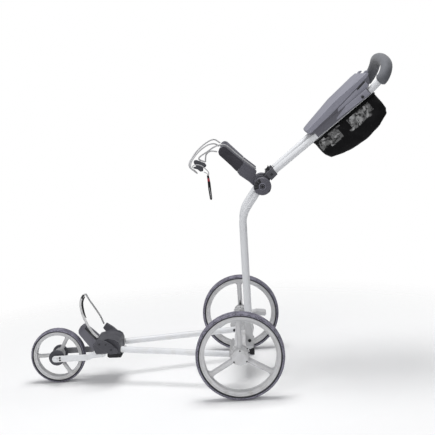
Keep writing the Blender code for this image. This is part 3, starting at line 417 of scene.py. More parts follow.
# ---------------------------------------------------------------- shapes
def add(name, mesh, body, looks, angle=38):
    """Links a finished mesh as a piece that rides on a body, with one look or several."""
    obj = bpy.data.objects.new(name, mesh)
    scene.collection.objects.link(obj)
    several = [looks] if isinstance(looks, str) else looks
    for look in several:
        mesh.materials.append(LOOKS[look].material)
    mesh.shade_smooth()
    mesh.set_sharp_from_angle(angle=math.radians(angle))
    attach(obj, body)
    return obj


def face_look(obj, way, look):
    """Gives the faces that are turned towards way their own look."""
    obj.data.materials.append(LOOKS[look].material)
    turn = obj.matrix_world.to_3x3()
    for face in obj.data.polygons:
        if (turn @ face.normal).dot(Vector(way)) > 0.6:
            face.material_index = 1


def soften(obj, width, segments=3, angle=32):
    bevel = obj.modifiers.new("soft_edges", "BEVEL")
    bevel.width = width
    bevel.segments = segments
    bevel.limit_method = "ANGLE"
    bevel.angle_limit = math.radians(angle)
    bevel.harden_normals = False
    level = obj.modifiers.new("even_normals", "WEIGHTED_NORMAL")
    level.keep_sharp = False
    return obj


def arc(centre, radius, start, end, steps):
    """Points along an arc, angles in degrees, both ends included."""
    found = []
    for index in range(steps + 1):
        angle = math.radians(start + (end - start) * index / steps)
        found.append((centre[0] + radius * math.cos(angle), centre[1] + radius * math.sin(angle)))
    return found


def circle(radius, steps=32, centre=(0.0, 0.0)):
    return arc(centre, radius, 0, 360 - 360 / steps, steps - 1)


def revolved(name, profile, centre, body, looks, steps=72, axis="Y", ring=True, split=None):
    """Turns (radius, along) points about an axis through centre; split picks a face's look."""
    shape = bmesh.new()
    uv = shape.loops.layers.uv.new("around_and_across")
    rows = []
    count = len(profile)
    for index in range(steps):
        angle = 2 * math.pi * index / steps
        rows.append([shape.verts.new((r * math.cos(angle), r * math.sin(angle), along))
                     for r, along in profile])
    travel = [0.0]
    points = list(profile) + [profile[0]]
    for (r0, a0), (r1, a1) in zip(points, points[1:]):
        travel.append(travel[-1] + math.hypot(r1 - r0, a1 - a0))
    widest = max(r for r, _ in profile)
    last = count if ring else count - 1
    for index in range(steps):
        this, following = rows[index], rows[(index + 1) % steps]
        for place in range(last):
            after = (place + 1) % count
            face = shape.faces.new((this[place], following[place], following[after], this[after]))
            around = 2 * math.pi * widest / steps
            spots = ((index, place), (index + 1, place), (index + 1, place + 1),
                     (index, place + 1))
            for loop, (u, v) in zip(face.loops, spots):
                loop[uv].uv = (u * around, travel[v])
            if split:
                face.material_index = split(profile[place], profile[after])
    bmesh.ops.remove_doubles(shape, verts=shape.verts, dist=1e-6)
    bmesh.ops.recalc_face_normals(shape, faces=shape.faces)
    mesh = bpy.data.meshes.new(name)
    shape.to_mesh(mesh)
    shape.free()
    turns = {"Y": Matrix.Rotation(-math.pi / 2, 4, "X"), "Z": Matrix.Identity(4)}
    turn = turns[axis] if isinstance(axis, str) else axis
    mesh.transform(Matrix.Translation(centre) @ turn)
    return add(name, mesh, body, looks)


def inset_loop(loop, reach, outer):
    """A closed loop moved into the material by reach: inwards for the outline, outwards for a hole."""
    points = [Vector(point) for point in loop]
    pairs = list(zip(points, points[1:] + points[:1]))
    turning = 1.0 if sum(a.x * b.y - a.y * b.x for a, b in pairs) > 0 else -1.0
    inward = turning if outer else -turning
    found = []
    for before, here, after in zip(points[-1:] + points[:-1], points, points[1:] + points[:1]):
        one, two = (here - before).normalized(), (after - here).normalized()
        normal = Vector((-one.y - two.y, one.x + two.x))
        if normal.length < 1e-6:
            normal = Vector((-one.y, one.x)) * 2
        normal = normal * (2.0 / max(1.0, normal.length_squared))
        found.append(here + normal * reach * inward)
    return found


def slab(name, loops, middle, thickness, edge, body, looks, base=Matrix.Identity(4)):
    """A flat piece with round edges: its first loop is the outline, any others are holes."""
    half = thickness / 2
    levels = [(-half, edge), (-half + edge * 0.29, edge * 0.29), (-half + edge, 0.0),
              (half - edge, 0.0), (half - edge * 0.29, edge * 0.29), (half, edge)]
    shape = bmesh.new()
    caps = []
    for order, loop in enumerate(loops):
        rings = [[shape.verts.new((point.x, level, point.y))
                  for point in inset_loop(loop, inset, order == 0)] for level, inset in levels]
        count = len(loop)
        for lower, upper in zip(rings, rings[1:]):
            for index in range(count):
                following = (index + 1) % count
                shape.faces.new((lower[index], lower[following], upper[following], upper[index]))
        caps.append((rings[0], rings[-1]))
    for end in (0, 1):
        corners = [vertex for cap in caps for vertex in cap[end]]
        flat = [[(vertex.co.x, vertex.co.z, 0.0) for vertex in cap[end]] for cap in caps]
        for triangle in tessellate_polygon(flat):
            shape.faces.new([corners[index] for index in triangle])
    bmesh.ops.recalc_face_normals(shape, faces=shape.faces)
    mesh = bpy.data.meshes.new(name)
    shape.to_mesh(mesh)
    shape.free()
    mesh.transform(base @ Matrix.Translation((0.0, middle, 0.0)))
    return add(name, mesh, body, looks, 30)


def shifted(loop, centre):
    return [(x + centre[0], z + centre[1]) for x, z in loop]


def oblong(low, high, half):
    """A rectangle's outline from low to high, with its middle line at zero."""
    return [(low, -half), (high, -half), (high, half), (low, half)]


def turned(degrees):
    """A turn in the side view, from +X towards +Z."""
    return Matrix.Rotation(-math.radians(degrees), 4, "Y")


def bent_path(points, bend_radius, steps=4):
    """A path through the points with its corners rounded to bend_radius."""
    corners = [Vector(point) for point in points]
    path = [corners[0]]
    for before, corner, after in zip(corners, corners[1:], corners[2:]):
        back = (before - corner).normalized()
        ahead = (after - corner).normalized()
        half = back.angle(ahead) / 2
        reach = min(bend_radius / math.tan(half), (before - corner).length / 2,
                    (after - corner).length / 2)
        for index in range(steps + 1):
            t = index / steps
            start, end = corner + back * reach, corner + ahead * reach
            path.append(start * (1 - t) ** 2 + corner * 2 * t * (1 - t) + end * t * t)
    path.append(corners[-1])
    return path


def smooth_path(points, spacing, closed=False):
    """A Catmull-Rom curve through the points, read off about every spacing."""
    knots = [Vector(point) for point in points]
    if closed:
        knots = [knots[-1], *knots, knots[0], knots[1]]
    else:
        knots = [knots[0] * 2 - knots[1], *knots, knots[-1] * 2 - knots[-2]]
    path = [] if closed else [knots[1]]
    for a, b, c, d in zip(knots, knots[1:], knots[2:], knots[3:]):
        count = max(1, round((c - b).length / spacing))
        for index in range(1, count + 1):
            t = index / count
            path.append(0.5 * (2 * b + (c - a) * t + (2 * a - 5 * b + 4 * c - d) * t * t
                               + (3 * b - a - 3 * c + d) * t ** 3))
    return path


def tube(name, path, radius, body, looks, sides=24, closed=False, profile=None, flat=1.0,
         lean=(0.0, 0.0, 1.0)):
    """A tube along a path. profile(t) scales its radius; flat squeezes it towards lean."""
    points = [Vector(point) for point in path]
    count = len(points)
    shape = bmesh.new()
    uv = shape.loops.layers.uv.new("around_and_along")
    travel = [0.0]
    for a, b in zip(points, points[1:] + points[:1]):
        travel.append(travel[-1] + (b - a).length)
    rows = []
    side = None
    for index, point in enumerate(points):
        before = points[index - 1] if index or closed else point
        after = points[(index + 1) % count] if index < count - 1 or closed else point
        ahead = (after - before).normalized()
        if side is None:
            side = Vector(lean).cross(ahead)
            if side.length < 0.1:
                side = Vector((0.0, 1.0, 0.0))
        side = (side - ahead * side.dot(ahead)).normalized()
        up = ahead.cross(side)
        reach = radius * (profile(travel[index] / travel[count - 1]) if profile else 1.0)
        row = []
        for step in range(sides):
            angle = 2 * math.pi * step / sides
            row.append(shape.verts.new(point + side * math.cos(angle) * reach
                                       + up * math.sin(angle) * reach * flat))
        rows.append(row)
    spans = count if closed else count - 1
    for index in range(spans):
        this, following = rows[index], rows[(index + 1) % count]
        for step in range(sides):
            after = (step + 1) % sides
            face = shape.faces.new((this[step], this[after], following[after], following[step]))
            spots = ((step, index), (step + 1, index), (step + 1, index + 1), (step, index + 1))
            for loop, (u, v) in zip(face.loops, spots):
                loop[uv].uv = (u / sides, travel[v])
    if not closed:
        shape.faces.new(rows[0][::-1])
        shape.faces.new(rows[-1])
    bmesh.ops.recalc_face_normals(shape, faces=shape.faces)
    mesh = bpy.data.meshes.new(name)
    shape.to_mesh(mesh)
    shape.free()
    return add(name, mesh, body, looks)


def rounded_ends(length, reach):
    """A radius profile that rounds both ends of a tube of that length."""
    def profile(t):
        left = min(t, 1 - t) * length
        if left >= reach:
            return 1.0
        return 0.35 + 0.65 * math.sqrt(max(0.0, 1 - (1 - left / reach) ** 2))
    return profile


def screw(name, place, axis, radius, body, looks="black", height=0.0022):
    """A small domed screw head with a round socket, standing on place along axis."""
    profile = [(0.0, height * 0.35), (radius * 0.42, height * 0.35), (radius * 0.46, height),
               (radius * 0.72, height), (radius * 0.95, height * 0.62), (radius, 0.0),
               (0.0, -0.0004)]
    way = Vector(axis).normalized()
    turn = way.to_track_quat("Z", "Y").to_matrix().to_4x4()
    return revolved(name, profile, Vector(place), body, looks, 24, turn, ring=False)


# ---------------------------------------------------------------- wheels
def window(spoke, half_spoke, rim_r, hub_r, fillet, hub_fillet):
    """One opening between two spokes of a three-spoke wheel."""
    def corner(radius, round_r):
        height = half_spoke + round_r
        return math.degrees(math.asin(height / radius)), height

    outer_turn, outer_h = corner(rim_r - fillet, fillet)
    inner_turn, inner_h = corner(hub_r + hub_fillet, hub_fillet)
    outer_c = (math.sqrt((rim_r - fillet) ** 2 - outer_h ** 2), outer_h)
    inner_c = (math.sqrt((hub_r + hub_fillet) ** 2 - inner_h ** 2), inner_h)
    half = arc((0, 0), rim_r, 60, outer_turn, 14)
    half += arc(outer_c, fillet, outer_turn, -90, 8)[1:]
    half += arc(inner_c, hub_fillet, -90, -180 + inner_turn, 5)
    half += arc((0, 0), hub_r, inner_turn, 60, 4)[1:]
    across = math.radians(120)
    mirrored = [(x * math.cos(across) + z * math.sin(across),
                 x * math.sin(across) - z * math.cos(across)) for x, z in half]
    loop = half + mirrored[-2:0:-1]
    turn = math.radians(spoke)
    return [(x * math.cos(turn) - z * math.sin(turn),
             x * math.sin(turn) + z * math.cos(turn)) for x, z in loop]


def tyre(name, radius, section, half, centre, body, node):
    """A solid tyre: rounded sidewalls, a crowned tread and three shallow grooves."""
    seat = radius - section
    wall = [(seat, 0.80 * half), (seat + 0.10 * section, 0.90 * half),
            (seat + 0.22 * section, 0.93 * half), (seat + 0.34 * section, 0.99 * half),
            (seat + 0.55 * section, half), (seat + 0.75 * section, 0.93 * half),
            (seat + 0.90 * section, 0.80 * half), (seat + 0.97 * section, 0.64 * half)]
    deep = radius - 0.0013
    tread = [(radius - 0.0002, 0.46 * half), (deep, 0.42 * half), (deep, 0.36 * half),
             (radius, 0.32 * half), (radius, 0.06 * half), (deep, 0.03 * half)]
    upper = wall + tread
    profile = upper + [(r, -y) for r, y in upper[::-1]]
    edge = seat + 0.28 * section

    def split(a, b):
        return 0 if min(a[0], b[0]) > edge else 1

    obj = revolved(name, profile, centre, body, ["tread", "sidewall"], 112, split=split)
    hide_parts(node)
    return obj


def rim(name, size, centre, body):
    """The rim: rounded flanges, a shallow channel on each face and a gently hollow barrel."""
    r, lip, h = size["rim"], size["lip"], size["rim_half"]
    face = [(r, h - 0.0020), (r - 0.0006, h - 0.0006), (r - 0.0018, h), (r - 0.0034, h),
            (r - 0.0046, h - 0.0008), (r - 0.0054, h - 0.0022), (lip + 0.0044, h - 0.0030),
            (lip + 0.0032, h - 0.0024), (lip + 0.0024, h - 0.0012), (lip + 0.0012, h - 0.0010),
            (lip + 0.0003, h - 0.0018), (lip, h - 0.0034), (lip + 0.0009, h - 0.0080),
            (lip + 0.0014, h - 0.0130)]
    profile = face + [(a, -b) for a, b in face[::-1]]
    return revolved(name, profile, centre, body, "silver", 112)


def wheel_centre(stem, size, centre, body, node):
    """Rim, spoked web with raised ribs, and hub, as the moulding shows them."""
    xz = (centre.x, centre.z)
    ring = rim(f"{stem}_rim", size, centre, body)
    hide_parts(node)
    windows = [window(angle, size["spoke"] / 2, size["lip"] + 0.0006, size["hub"],
                      size["fillet"], 0.004) for angle in size["angles"]]
    outer = circle(size["lip"] + 0.0080, 112)
    bore = circle(size["bore"] + 0.002, 32)
    # the web's darker silver carries painted shade along the spoke edges
    slab(f"{stem}_web", [shifted(loop, xz) for loop in [outer, *windows, bore]], centre.y,
         size["web"] - 0.005, 0.0018, body, "web")
    hub, half = size["hub"], size["hub_half"]
    revolved(f"{stem}_hub", [(size["bore"], half - 0.001), (size["bore"] + 0.001, half),
                             (hub - 0.002, half), (hub, half - 0.002), (hub + 0.001, 0.004),
                             (hub + 0.001, -0.004), (hub, -half + 0.002), (hub - 0.002, -half),
                             (size["bore"] + 0.001, -half), (size["bore"], -half + 0.001)],
             centre, body, "silver", 56)
    inner, outer_end, wide = hub - 0.004, size["lip"] + 0.004, size["rib"]
    half_panel = [(inner, wide), (inner + 0.008, wide * 0.9), (outer_end - 0.016, wide),
                  (outer_end - 0.008, wide * 1.35), (outer_end, wide * 2.1)]
    panel = half_panel + [(reach, -side) for reach, side in half_panel[::-1]]
    for index, angle in enumerate(size["angles"]):
        tilt = Matrix.Translation((xz[0], 0.0, xz[1])) @ Matrix.Rotation(-math.radians(angle), 4, "Y")
        slab(f"{stem}_spoke_{index}", [panel], centre.y, size["web"], 0.0028, body, "silver",
             base=tilt)
    return ring


REAR = {"rim": 0.1324, "lip": 0.117, "rim_half": 0.0165, "spoke": 0.017, "web": 0.016,
        "hub": 0.026, "bore": 0.0145, "hub_half": 0.025, "fillet": 0.012, "rib": 0.0052,
        "angles": (90, 210, 330)}
FRONT = {"rim": 0.0868, "lip": 0.0745, "rim_half": 0.0165, "spoke": 0.013, "web": 0.014,
         "hub": 0.019, "bore": 0.0045, "hub_half": 0.030, "fillet": 0.008, "rib": 0.0040,
         "angles": (60, 180, 300)}


def trefoil(radius, lobe, steps=72):
    """A round cap with three soft lobes that lie on the spokes."""
    found = []
    for index in range(steps):
        angle = math.radians(360 * index / steps)
        reach = radius + lobe * math.cos(3 * (angle - math.pi / 2))
        found.append((reach * math.cos(angle), reach * math.sin(angle)))
    return found


def rear_wheel(side, sign):
    body = f"rear_wheel_{side}"
    centre = PIVOT[f"{body}_spin"]
    xz = (centre.x, centre.z)
    tyre(f"{body}_tyre", REAR_R, REAR_R - REAR["rim"] - 0.0003, 0.020, centre, body,
         f"rear_tyre_{side}")
    wheel_centre(body, REAR, centre, body, f"rear_wheel_centre_{side}")
    face = sign * (HALF_TRACK + REAR["hub_half"] + 0.0003)
    cap = slab(f"{body}_cap", [shifted(trefoil(0.0245, 0.0035), xz)], face + sign * 0.0025,
               0.005, 0.0016, body, "silver")
    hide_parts(f"rear_hub_cap_{side}")
    outward = (0.0, sign, 0.0)
    dish = [(0.0, 0.0003), (0.0135, 0.0003), (0.0145, 0.0), (0.0, -0.0004)]
    revolved(f"{body}_cap_dish", dish, Vector((xz[0], face + sign * 0.005, xz[1])), body,
             "silver", 48, Matrix.Rotation(-sign * math.pi / 2, 4, "X"), ring=False)
    for index, angle in enumerate(REAR["angles"]):
        turn = math.radians(angle)
        spot = Vector((xz[0] + 0.0238 * math.cos(turn), face + sign * 0.0049,
                       xz[1] + 0.0238 * math.sin(turn)))
        screw(f"{body}_cap_screw_{index}", spot, outward, 0.0028, body, height=0.0007)
        # painted shade: a black wedge sheet on the inner side of each spoke root stands for the shade
        # seen there
        wedge_at = [(0.031, -0.0042), (0.031, 0.0042), (0.050, 0.0008), (0.050, -0.0008)]
        wedge = [(a * math.cos(turn) - b * math.sin(turn) + xz[0],
                  a * math.sin(turn) + b * math.cos(turn) + xz[1]) for a, b in wedge_at]
        slab(f"{body}_recess_{index}", [wedge], sign * (HALF_TRACK - 0.0088), 0.0034, 0.0004,
             body, "black")


for side, sign in SIDES:
    rear_wheel(side, sign)

front_centre = PIVOT["front_wheel_spin"]
tyre("front_wheel_tyre", FRONT_R, FRONT_R - FRONT["rim"] - 0.0003, 0.020, front_centre,
     "front_wheel", "front_tyre")
wheel_centre("front_wheel", FRONT, front_centre, "front_wheel", "front_wheel_centre")


# ---------------------------------------------------------------- tubes of the frame
JOINT = PIVOT["handle_fold"]
JOINT_X = JOINT.x - AXLE_X


def frame_tubes():
    arrive = Vector((JOINT_X - 0.058, JOINT.z - 0.617)).normalized()
    line = [(0.031, 0.080), (0.031, 0.572),
            (JOINT_X - arrive.x * 0.0315, JOINT.z - arrive.y * 0.0315)]
    for side, sign in SIDES:
        path = bent_path([at(x, sign * 0.0735, z) for x, z in line], 0.110, 20)
        piece = tube(f"upright_{side}", path, 0.0125, "rear_frame", "paint", 32)
        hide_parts(f"upright_tube_{side}")
        start = Vector((-0.4170, sign * 0.0535, 0.1195))
        bolt = Vector((FOLD_X, sign * 0.165, FOLD_Z))
        run = (bolt - start).normalized() * 0.011
        piece = tube(f"lower_bar_{side}", [at(*start), at(*(bolt + run))], 0.011, "front_frame",
                     "paint", 32)
        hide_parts(f"lower_tube_{side}")


def from_joint(along, across):
    """The side-view place that lies so far along and square to the collars from the joint."""
    way = Vector((math.cos(COLLAR_TURN), math.sin(COLLAR_TURN)))
    return Vector((JOINT.x, JOINT.z)) + way * along + Vector((-way.y, way.x)) * across


def leg_top(sign):
    """Where the handle leg bends beside the console's upper end, and where it meets the grip."""
    return at(0.4670, sign * 0.1680, 0.9660), on_leg(0.3090, sign * 0.1790, 0.0070)


def leg_line(sign, reach=0.014):
    """The handle leg's line, from its collar up to inside the grip."""
    foot = from_joint(0.0670, 0.0050)
    bend, end = leg_top(sign)
    path = bent_path([Vector((foot.x, sign * 0.0565, foot.y)),
                      at(0.2586, sign * LEG_HALF_GAP, 0.7985), bend, end], 0.25, 10)
    path.append(path[-1] + (end - bend).normalized() * reach)
    return path


def handle_tubes():
    for side, sign in SIDES:
        piece = tube(f"leg_{side}", leg_line(sign), 0.011, "handle", "paint", 32)
        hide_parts(f"handle_leg_{side}")


frame_tubes()
handle_tubes()


# ---------------------------------------------------------------- grip
def grip():
    """A foam sleeve round the bend of the handle bar, with a rolled lip at each end."""
    bend, end = leg_top(1)
    way = (end - bend).normalized()
    start = end + way * 0.0006
    half = [start, start + way * 0.0160, at(0.5205, 0.1670, 1.0290), at(0.5255, 0.1400, 1.0490),
            at(0.5225, 0.0800, 1.0640)]
    near = [Vector((p.x, -p.y, p.z)) for p in half]
    path = smooth_path([*near, at(0.5205, 0.0, 1.0680), *half[::-1]], 0.006)
    length = sum((b - a).length for a, b in zip(path, path[1:]))

    def profile(t):
        left = min(t, 1 - t) * length
        lip = 1.0 + 0.035 * math.exp(-((left - 0.007) / 0.004) ** 2)
        roll = 0.80 + 0.20 * math.sqrt(max(0.0, 1 - (1 - min(1.0, left / 0.006)) ** 2))
        return roll * lip * (0.985 + 0.015 * math.cos(4 * math.pi * t))

    piece = tube("foam_grip", path, 0.0195, "handle", "grip", 40, profile=profile)
    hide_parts("handle_grip")


grip()


# ---------------------------------------------------------------- joint discs
def joint_discs():
    """The round covers over the handle joint: a dished face, a ring and a notch at the rim."""
    for side, sign in SIDES:
        profile = [(0.0100, 0.0975), (0.0125, 0.0985), (0.0150, 0.0978), (0.0165, 0.0972),
                   (0.0255, 0.0978), (0.0280, 0.0974), (0.0294, 0.0962), (0.0300, 0.0945),
                   (0.0300, 0.0870), (0.0290, 0.0862), (0.0290, 0.0577), (0.0280, 0.0575),
                   (0.0056, 0.0575), (0.0056, 0.0975)]
        body = [(r, sign * a) for r, a in profile]
        disc = revolved(f"joint_cover_{side}", body, Vector((JOINT.x, 0.0, JOINT.z)), "rear_frame",
                        "arm", 72)
        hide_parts(f"joint_hub_{side}")
        centre = Matrix.Translation((JOINT.x, 0, JOINT.z))
        # painted shade: a black sector sheet stands for the shade in the cover's recess beside the
        # ribs
        sector = arc((0.0, 0.0), 0.0278, 106, 202, 14) + arc((0.0, 0.0), 0.0128, 202, 106, 8)
        slab(f"joint_recess_{side}", [sector], sign * 0.0972, 0.0024, 0.0002, "rear_frame",
             "black", base=centre)
        for index, turn in enumerate((132, 158, 182)):
            slab(f"joint_rib_{side}_{index}", [oblong(0.0130, 0.0264, 0.0009)], sign * 0.0976,
                 0.0028, 0.0003, "rear_frame", "charcoal", base=centre @ turned(turn))
        slab(f"joint_bolt_ring_{side}", [circle(0.0118, 40), circle(0.0098, 40)], sign * 0.0990,
             0.0020, 0.0004, "rear_frame", "lid", base=centre)
        slab(f"joint_bolt_face_{side}", [circle(0.0072, 32), circle(0.0048, 24)], sign * 0.1030,
             0.0010, 0.0002, "rear_frame", "arm", base=centre)
        slab(f"joint_notch_{side}", [oblong(0.0250, 0.0303, 0.0042)], sign * 0.0950, 0.0052,
             0.0002, "rear_frame", "black", base=centre @ turned(-38))


joint_discs()


# ---------------------------------------------------------------- CAD nodes that stay
def keep(node, look, edge=0.0, segments=2):
    """A CAD node keeps its shape; it gets a material and, where edge is given, soft edges."""
    obj = frame["nodes"][node]
    obj.data.materials.clear()
    obj.data.materials.append(LOOKS[look].material)
    with bpy.context.temp_override(object=obj, active_object=obj, selected_objects=[obj]):
        bpy.ops.mesh.customdata_custom_splitnormals_clear()
    obj.data.shade_smooth()
    join = obj.modifiers.new("joined_corners", "WELD")
    join.merge_threshold = 1e-5
    if edge:
        soften(obj, edge, segments)
    else:
        split = obj.modifiers.new("crisp_edges", "EDGE_SPLIT")
        split.split_angle = math.radians(35)


KEPT = (
    ("silver", 0.0008, ("axle_housing", "ear_plate_left", "ear_plate_right",
                        "upright_bracket_left", "upright_bracket_right")),
    ("silver", 0.0022, ("brake_pedal",)),
    ("steel", 0.0, ("axle_shaft", "fork_pin", "brake_pin_left", "brake_pin_right")),
    ("paint", 0.0006, ("front_axle",)),
    ("silver", 0.0006, ("brake_ring_left", "brake_ring_right")),
    ("black", 0.0006, ("joint_bolt", "joint_wing_nut")),
    ("black", 0.0014, ("upright_stop_block", "latch_foot")),
    ("charcoal", 0.0012, ("bungee_hook", "leg_collar_left", "leg_collar_right",
                          "front_hub_disc_left", "front_hub_disc_right",
                          "bracket_wing_left", "bracket_wing_right")),
    ("charcoal", 0.0020, ("bracket_housing",)),
    ("arm", 0.0035, ("bracket_toe",)),
    ("arm", 0.0016, ("bag_arm_left", "bag_arm_right", "bag_cheek_left", "bag_cheek_right",
                     "console_base")),
    ("lid", 0.0026, ("console_lid",)),
)
for look, edge, nodes in KEPT:
    for node in nodes:
        keep(node, look, edge)
for side, sign in SIDES:
    face_look(frame["nodes"][f"bag_cheek_{side}"], (0.0, sign, 0.0), "pad")


# ---------------------------------------------------------------- fork
def fork_arms():
    spine = [Vector(p) for p in ((-0.6530, 0.0965), (-0.6000, 0.0967), (-0.5440, 0.0970),
                                 (-0.5320, 0.1005), (-0.5200, 0.1050), (-0.5080, 0.1065),
                                 (-0.4860, 0.1065))]
    left, right = [], []
    for index, point in enumerate(spine):
        ahead = spine[min(index + 1, len(spine) - 1)] - spine[max(index - 1, 0)]
        side = Vector((-ahead.y, ahead.x)).normalized() * 0.011
        left.append(tuple(point + side))
        right.append(tuple(point - side))
    tail = arc(spine[0], 0.011, 90, 270, 20)
    nose = arc(spine[-1], 0.011, 90, -90, 20)
    loop = shifted(left[1:-1] + nose + right[-2:0:-1] + tail[::-1], (AXLE_X, 0.0))
    for side, sign in SIDES:
        bar = slab(f"fork_bar_{side}", [loop], sign * 0.055, 0.0080, 0.0018, "fork", "paint")
        # the faces turned towards the middle of the trolley get the darker grey look
        face_look(bar, (0.0, -sign, 0.0), "arm_grey")
        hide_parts(f"fork_arm_{side}")
        face = sign * 0.0590
        for index, (x, z) in enumerate(((-0.6360, 0.1013), (-0.6360, 0.0925))):
            screw(f"fork_screw_{side}_{index}", at(x, face, z), (0.0, sign, 0.0), 0.0034, "fork",
                  height=0.0016)


fork_arms()


# ---------------------------------------------------------------- small hardware
def rear_hardware():
    """Bolts round the axle: fold bolts with their inner ends, and upright bolts."""
    for side, sign in SIDES:
        outward = (0.0, sign, 0.0)
        low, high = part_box(f"ear_plate_{side}")
        face = high.y if sign > 0 else low.y
        screw(f"fold_bolt_{side}", at(FOLD_X, face, FOLD_Z), outward, 0.0058, "rear_frame",
              height=0.0030)
        screw(f"fold_bolt_end_{side}", at(FOLD_X, sign * 0.1538, FOLD_Z), (0.0, -sign, 0.0),
              0.0058, "front_frame", height=0.0030)
        low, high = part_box(f"upright_bracket_{side}")
        face = high.y if sign > 0 else low.y
        screw(f"upright_bolt_{side}", at(0.0313, face, 0.137), outward, 0.0058, "rear_frame",
              height=0.0030)


def bracket_hardware():
    """Small square sockets in the outer faces of the foot bracket's leaning wings."""
    root, way = Vector((-0.4370, 0.0935)), Vector((-0.655, 0.756))
    for side, sign in SIDES:
        for index, (x, z) in enumerate(((-0.4850, 0.1560), (-0.4640, 0.1520), (-0.4480, 0.1300))):
            face = 0.0684 + 0.013 + 0.40 * (Vector((x, z)) - root).dot(way)
            loop = shifted(oblong(-0.0028, 0.0028, 0.0022), (AXLE_X + x, z))
            slab(f"bracket_socket_{side}_{index}", [loop], sign * face, 0.0034, 0.0003,
                 "front_frame", "black")


def toe_trough_shade():
    """A thin black sheet of painted shade laid in the trough of the toe scoop, which narrows towards
    the tip.
    """
    slope = math.atan2(0.7526, -0.6585)
    toe = (Matrix.Translation(at(-0.5089, 0.0, 0.1462)) @ Matrix.Rotation(-slope, 4, "Y"))
    shape = bmesh.new()
    rows = []
    for step in range(13):
        t = step / 12
        half = 0.0265 - 0.0115 * t ** 2
        row = []
        for place in range(13):
            across = half * (place / 6 - 1)
            up = -0.0294 + math.sqrt(0.0394 ** 2 - across ** 2)
            row.append(shape.verts.new(toe @ Vector((0.004 + 0.060 * t, across, up))))
        rows.append(row)
    for this, following in zip(rows, rows[1:]):
        for place in range(12):
            shape.faces.new((this[place], this[place + 1], following[place + 1],
                             following[place]))
    mesh = bpy.data.meshes.new("toe_trough_shade")
    shape.to_mesh(mesh)
    shape.free()
    # painted shade: a thin black sheet laid over the trough
    trough_shade_sheet = add("toe_trough_shade", mesh, "front_frame", "black")
    thick = trough_shade_sheet.modifiers.new("shade_sheet_thickness", "SOLIDIFY")
    thick.thickness = 0.0010
    thick.offset = 0.0


def collar_hardware():
    """The square-headed screw in each leg collar."""
    centre = from_joint(0.0493, 0.0050)
    tilt = (Matrix.Translation((centre.x, 0.0, centre.y))
            @ Matrix.Rotation(-COLLAR_TURN, 4, "Y"))
    for side, sign in SIDES:
        slab(f"collar_screw_{side}", [oblong(-0.0042, 0.0042, 0.0042)], sign * 0.06825, 0.0024,
             0.0006, "handle", "black", base=tilt)


def console_side(sign, out, splay):
    """A frame on the console's side at its screw: x runs along the side and z up from the legs."""
    along, up = 0.236, 0.0035
    across = sign * (LEG_HALF_GAP + LEG_SPLAY * along + out)
    return (LEG_FRAME @ Matrix.Translation((along, across, up))
            @ Matrix.Rotation(sign * math.atan(splay), 4, "Z"))


def console_hardware():
    """Side screws with rings, lid-coloured side patches of painted light, a black wedge of painted
    shade in the slot under the lid, and the tabs at its upper end.
    """
    # painted light: the panel and the shoulder are lid-coloured patches where the console's side faces
    # up into the light
    panel = [(-0.1160, -0.0040), (0.0250, -0.0080), (0.0250, 0.0130), (-0.0600, 0.0130),
             (-0.1100, 0.0010)]
    painted_light_shoulder = [(-0.0960, 0.0120), (0.0330, 0.0125), (0.0400, 0.0190), (0.0400, 0.0365),
                (-0.0010, 0.0310), (-0.0860, 0.0221)]
    # painted shade: clip is a black wedge sheet that stands for the shade in the slot under the lid
    clip = [(0.0020, 0.0262), (0.0390, 0.0313), (0.0390, 0.0366), (0.0020, 0.0315)]
    tab = [(-0.0060, -0.0030), (0.0080, -0.0030), (0.0095, 0.0010), (0.0020, 0.0050),
           (-0.0050, 0.0040)]
    for side, sign in SIDES:
        skirt = console_side(sign, 0.0160, LEG_SPLAY)
        shell = console_side(sign, 0.0111, 0.3224)
        for stem, base, loop, thickness, edge, look in (
                ("screw_ring", skirt, circle(0.0062, 32), 0.0026, 0.0004, "arm"),
                ("screw", skirt, circle(0.0040, 24), 0.0040, 0.0004, "black"),
                ("panel", skirt, panel, 0.0016, 0.0006, "lid"),
                ("painted_light_shoulder", shell, painted_light_shoulder, 0.0016, 0.0006, "lid"),
                ("clip", shell, clip, 0.0026, 0.0004, "black")):
            slab(f"console_{stem}_{side}", [loop], 0.0, thickness, edge, "handle", look,
                 base=base)
        place = LEG_FRAME @ Matrix.Translation((0.3020, sign * 0.0900, 0.0510))
        slab(f"lid_tab_{side}", [tab], 0.0, 0.0180, 0.0012, "lid", "lid", base=place)


rear_hardware()
bracket_hardware()
toe_trough_shade()
collar_hardware()
console_hardware()


# ---------------------------------------------------------------- elastic cords
ARM_ROOT, ARM_WAY, ARM_FLARE = (0.0807, 0.6950), (-0.720, 0.694), 0.38


def arm_middle(x, z):
    """Distance from y = 0 of the bag arms' middle plane at a point of the side view."""
    along = (Vector((x, z)) - Vector(ARM_ROOT)).dot(Vector(ARM_WAY).normalized())
    return (0.0705 + 0.0865) / 2 + ARM_FLARE * along


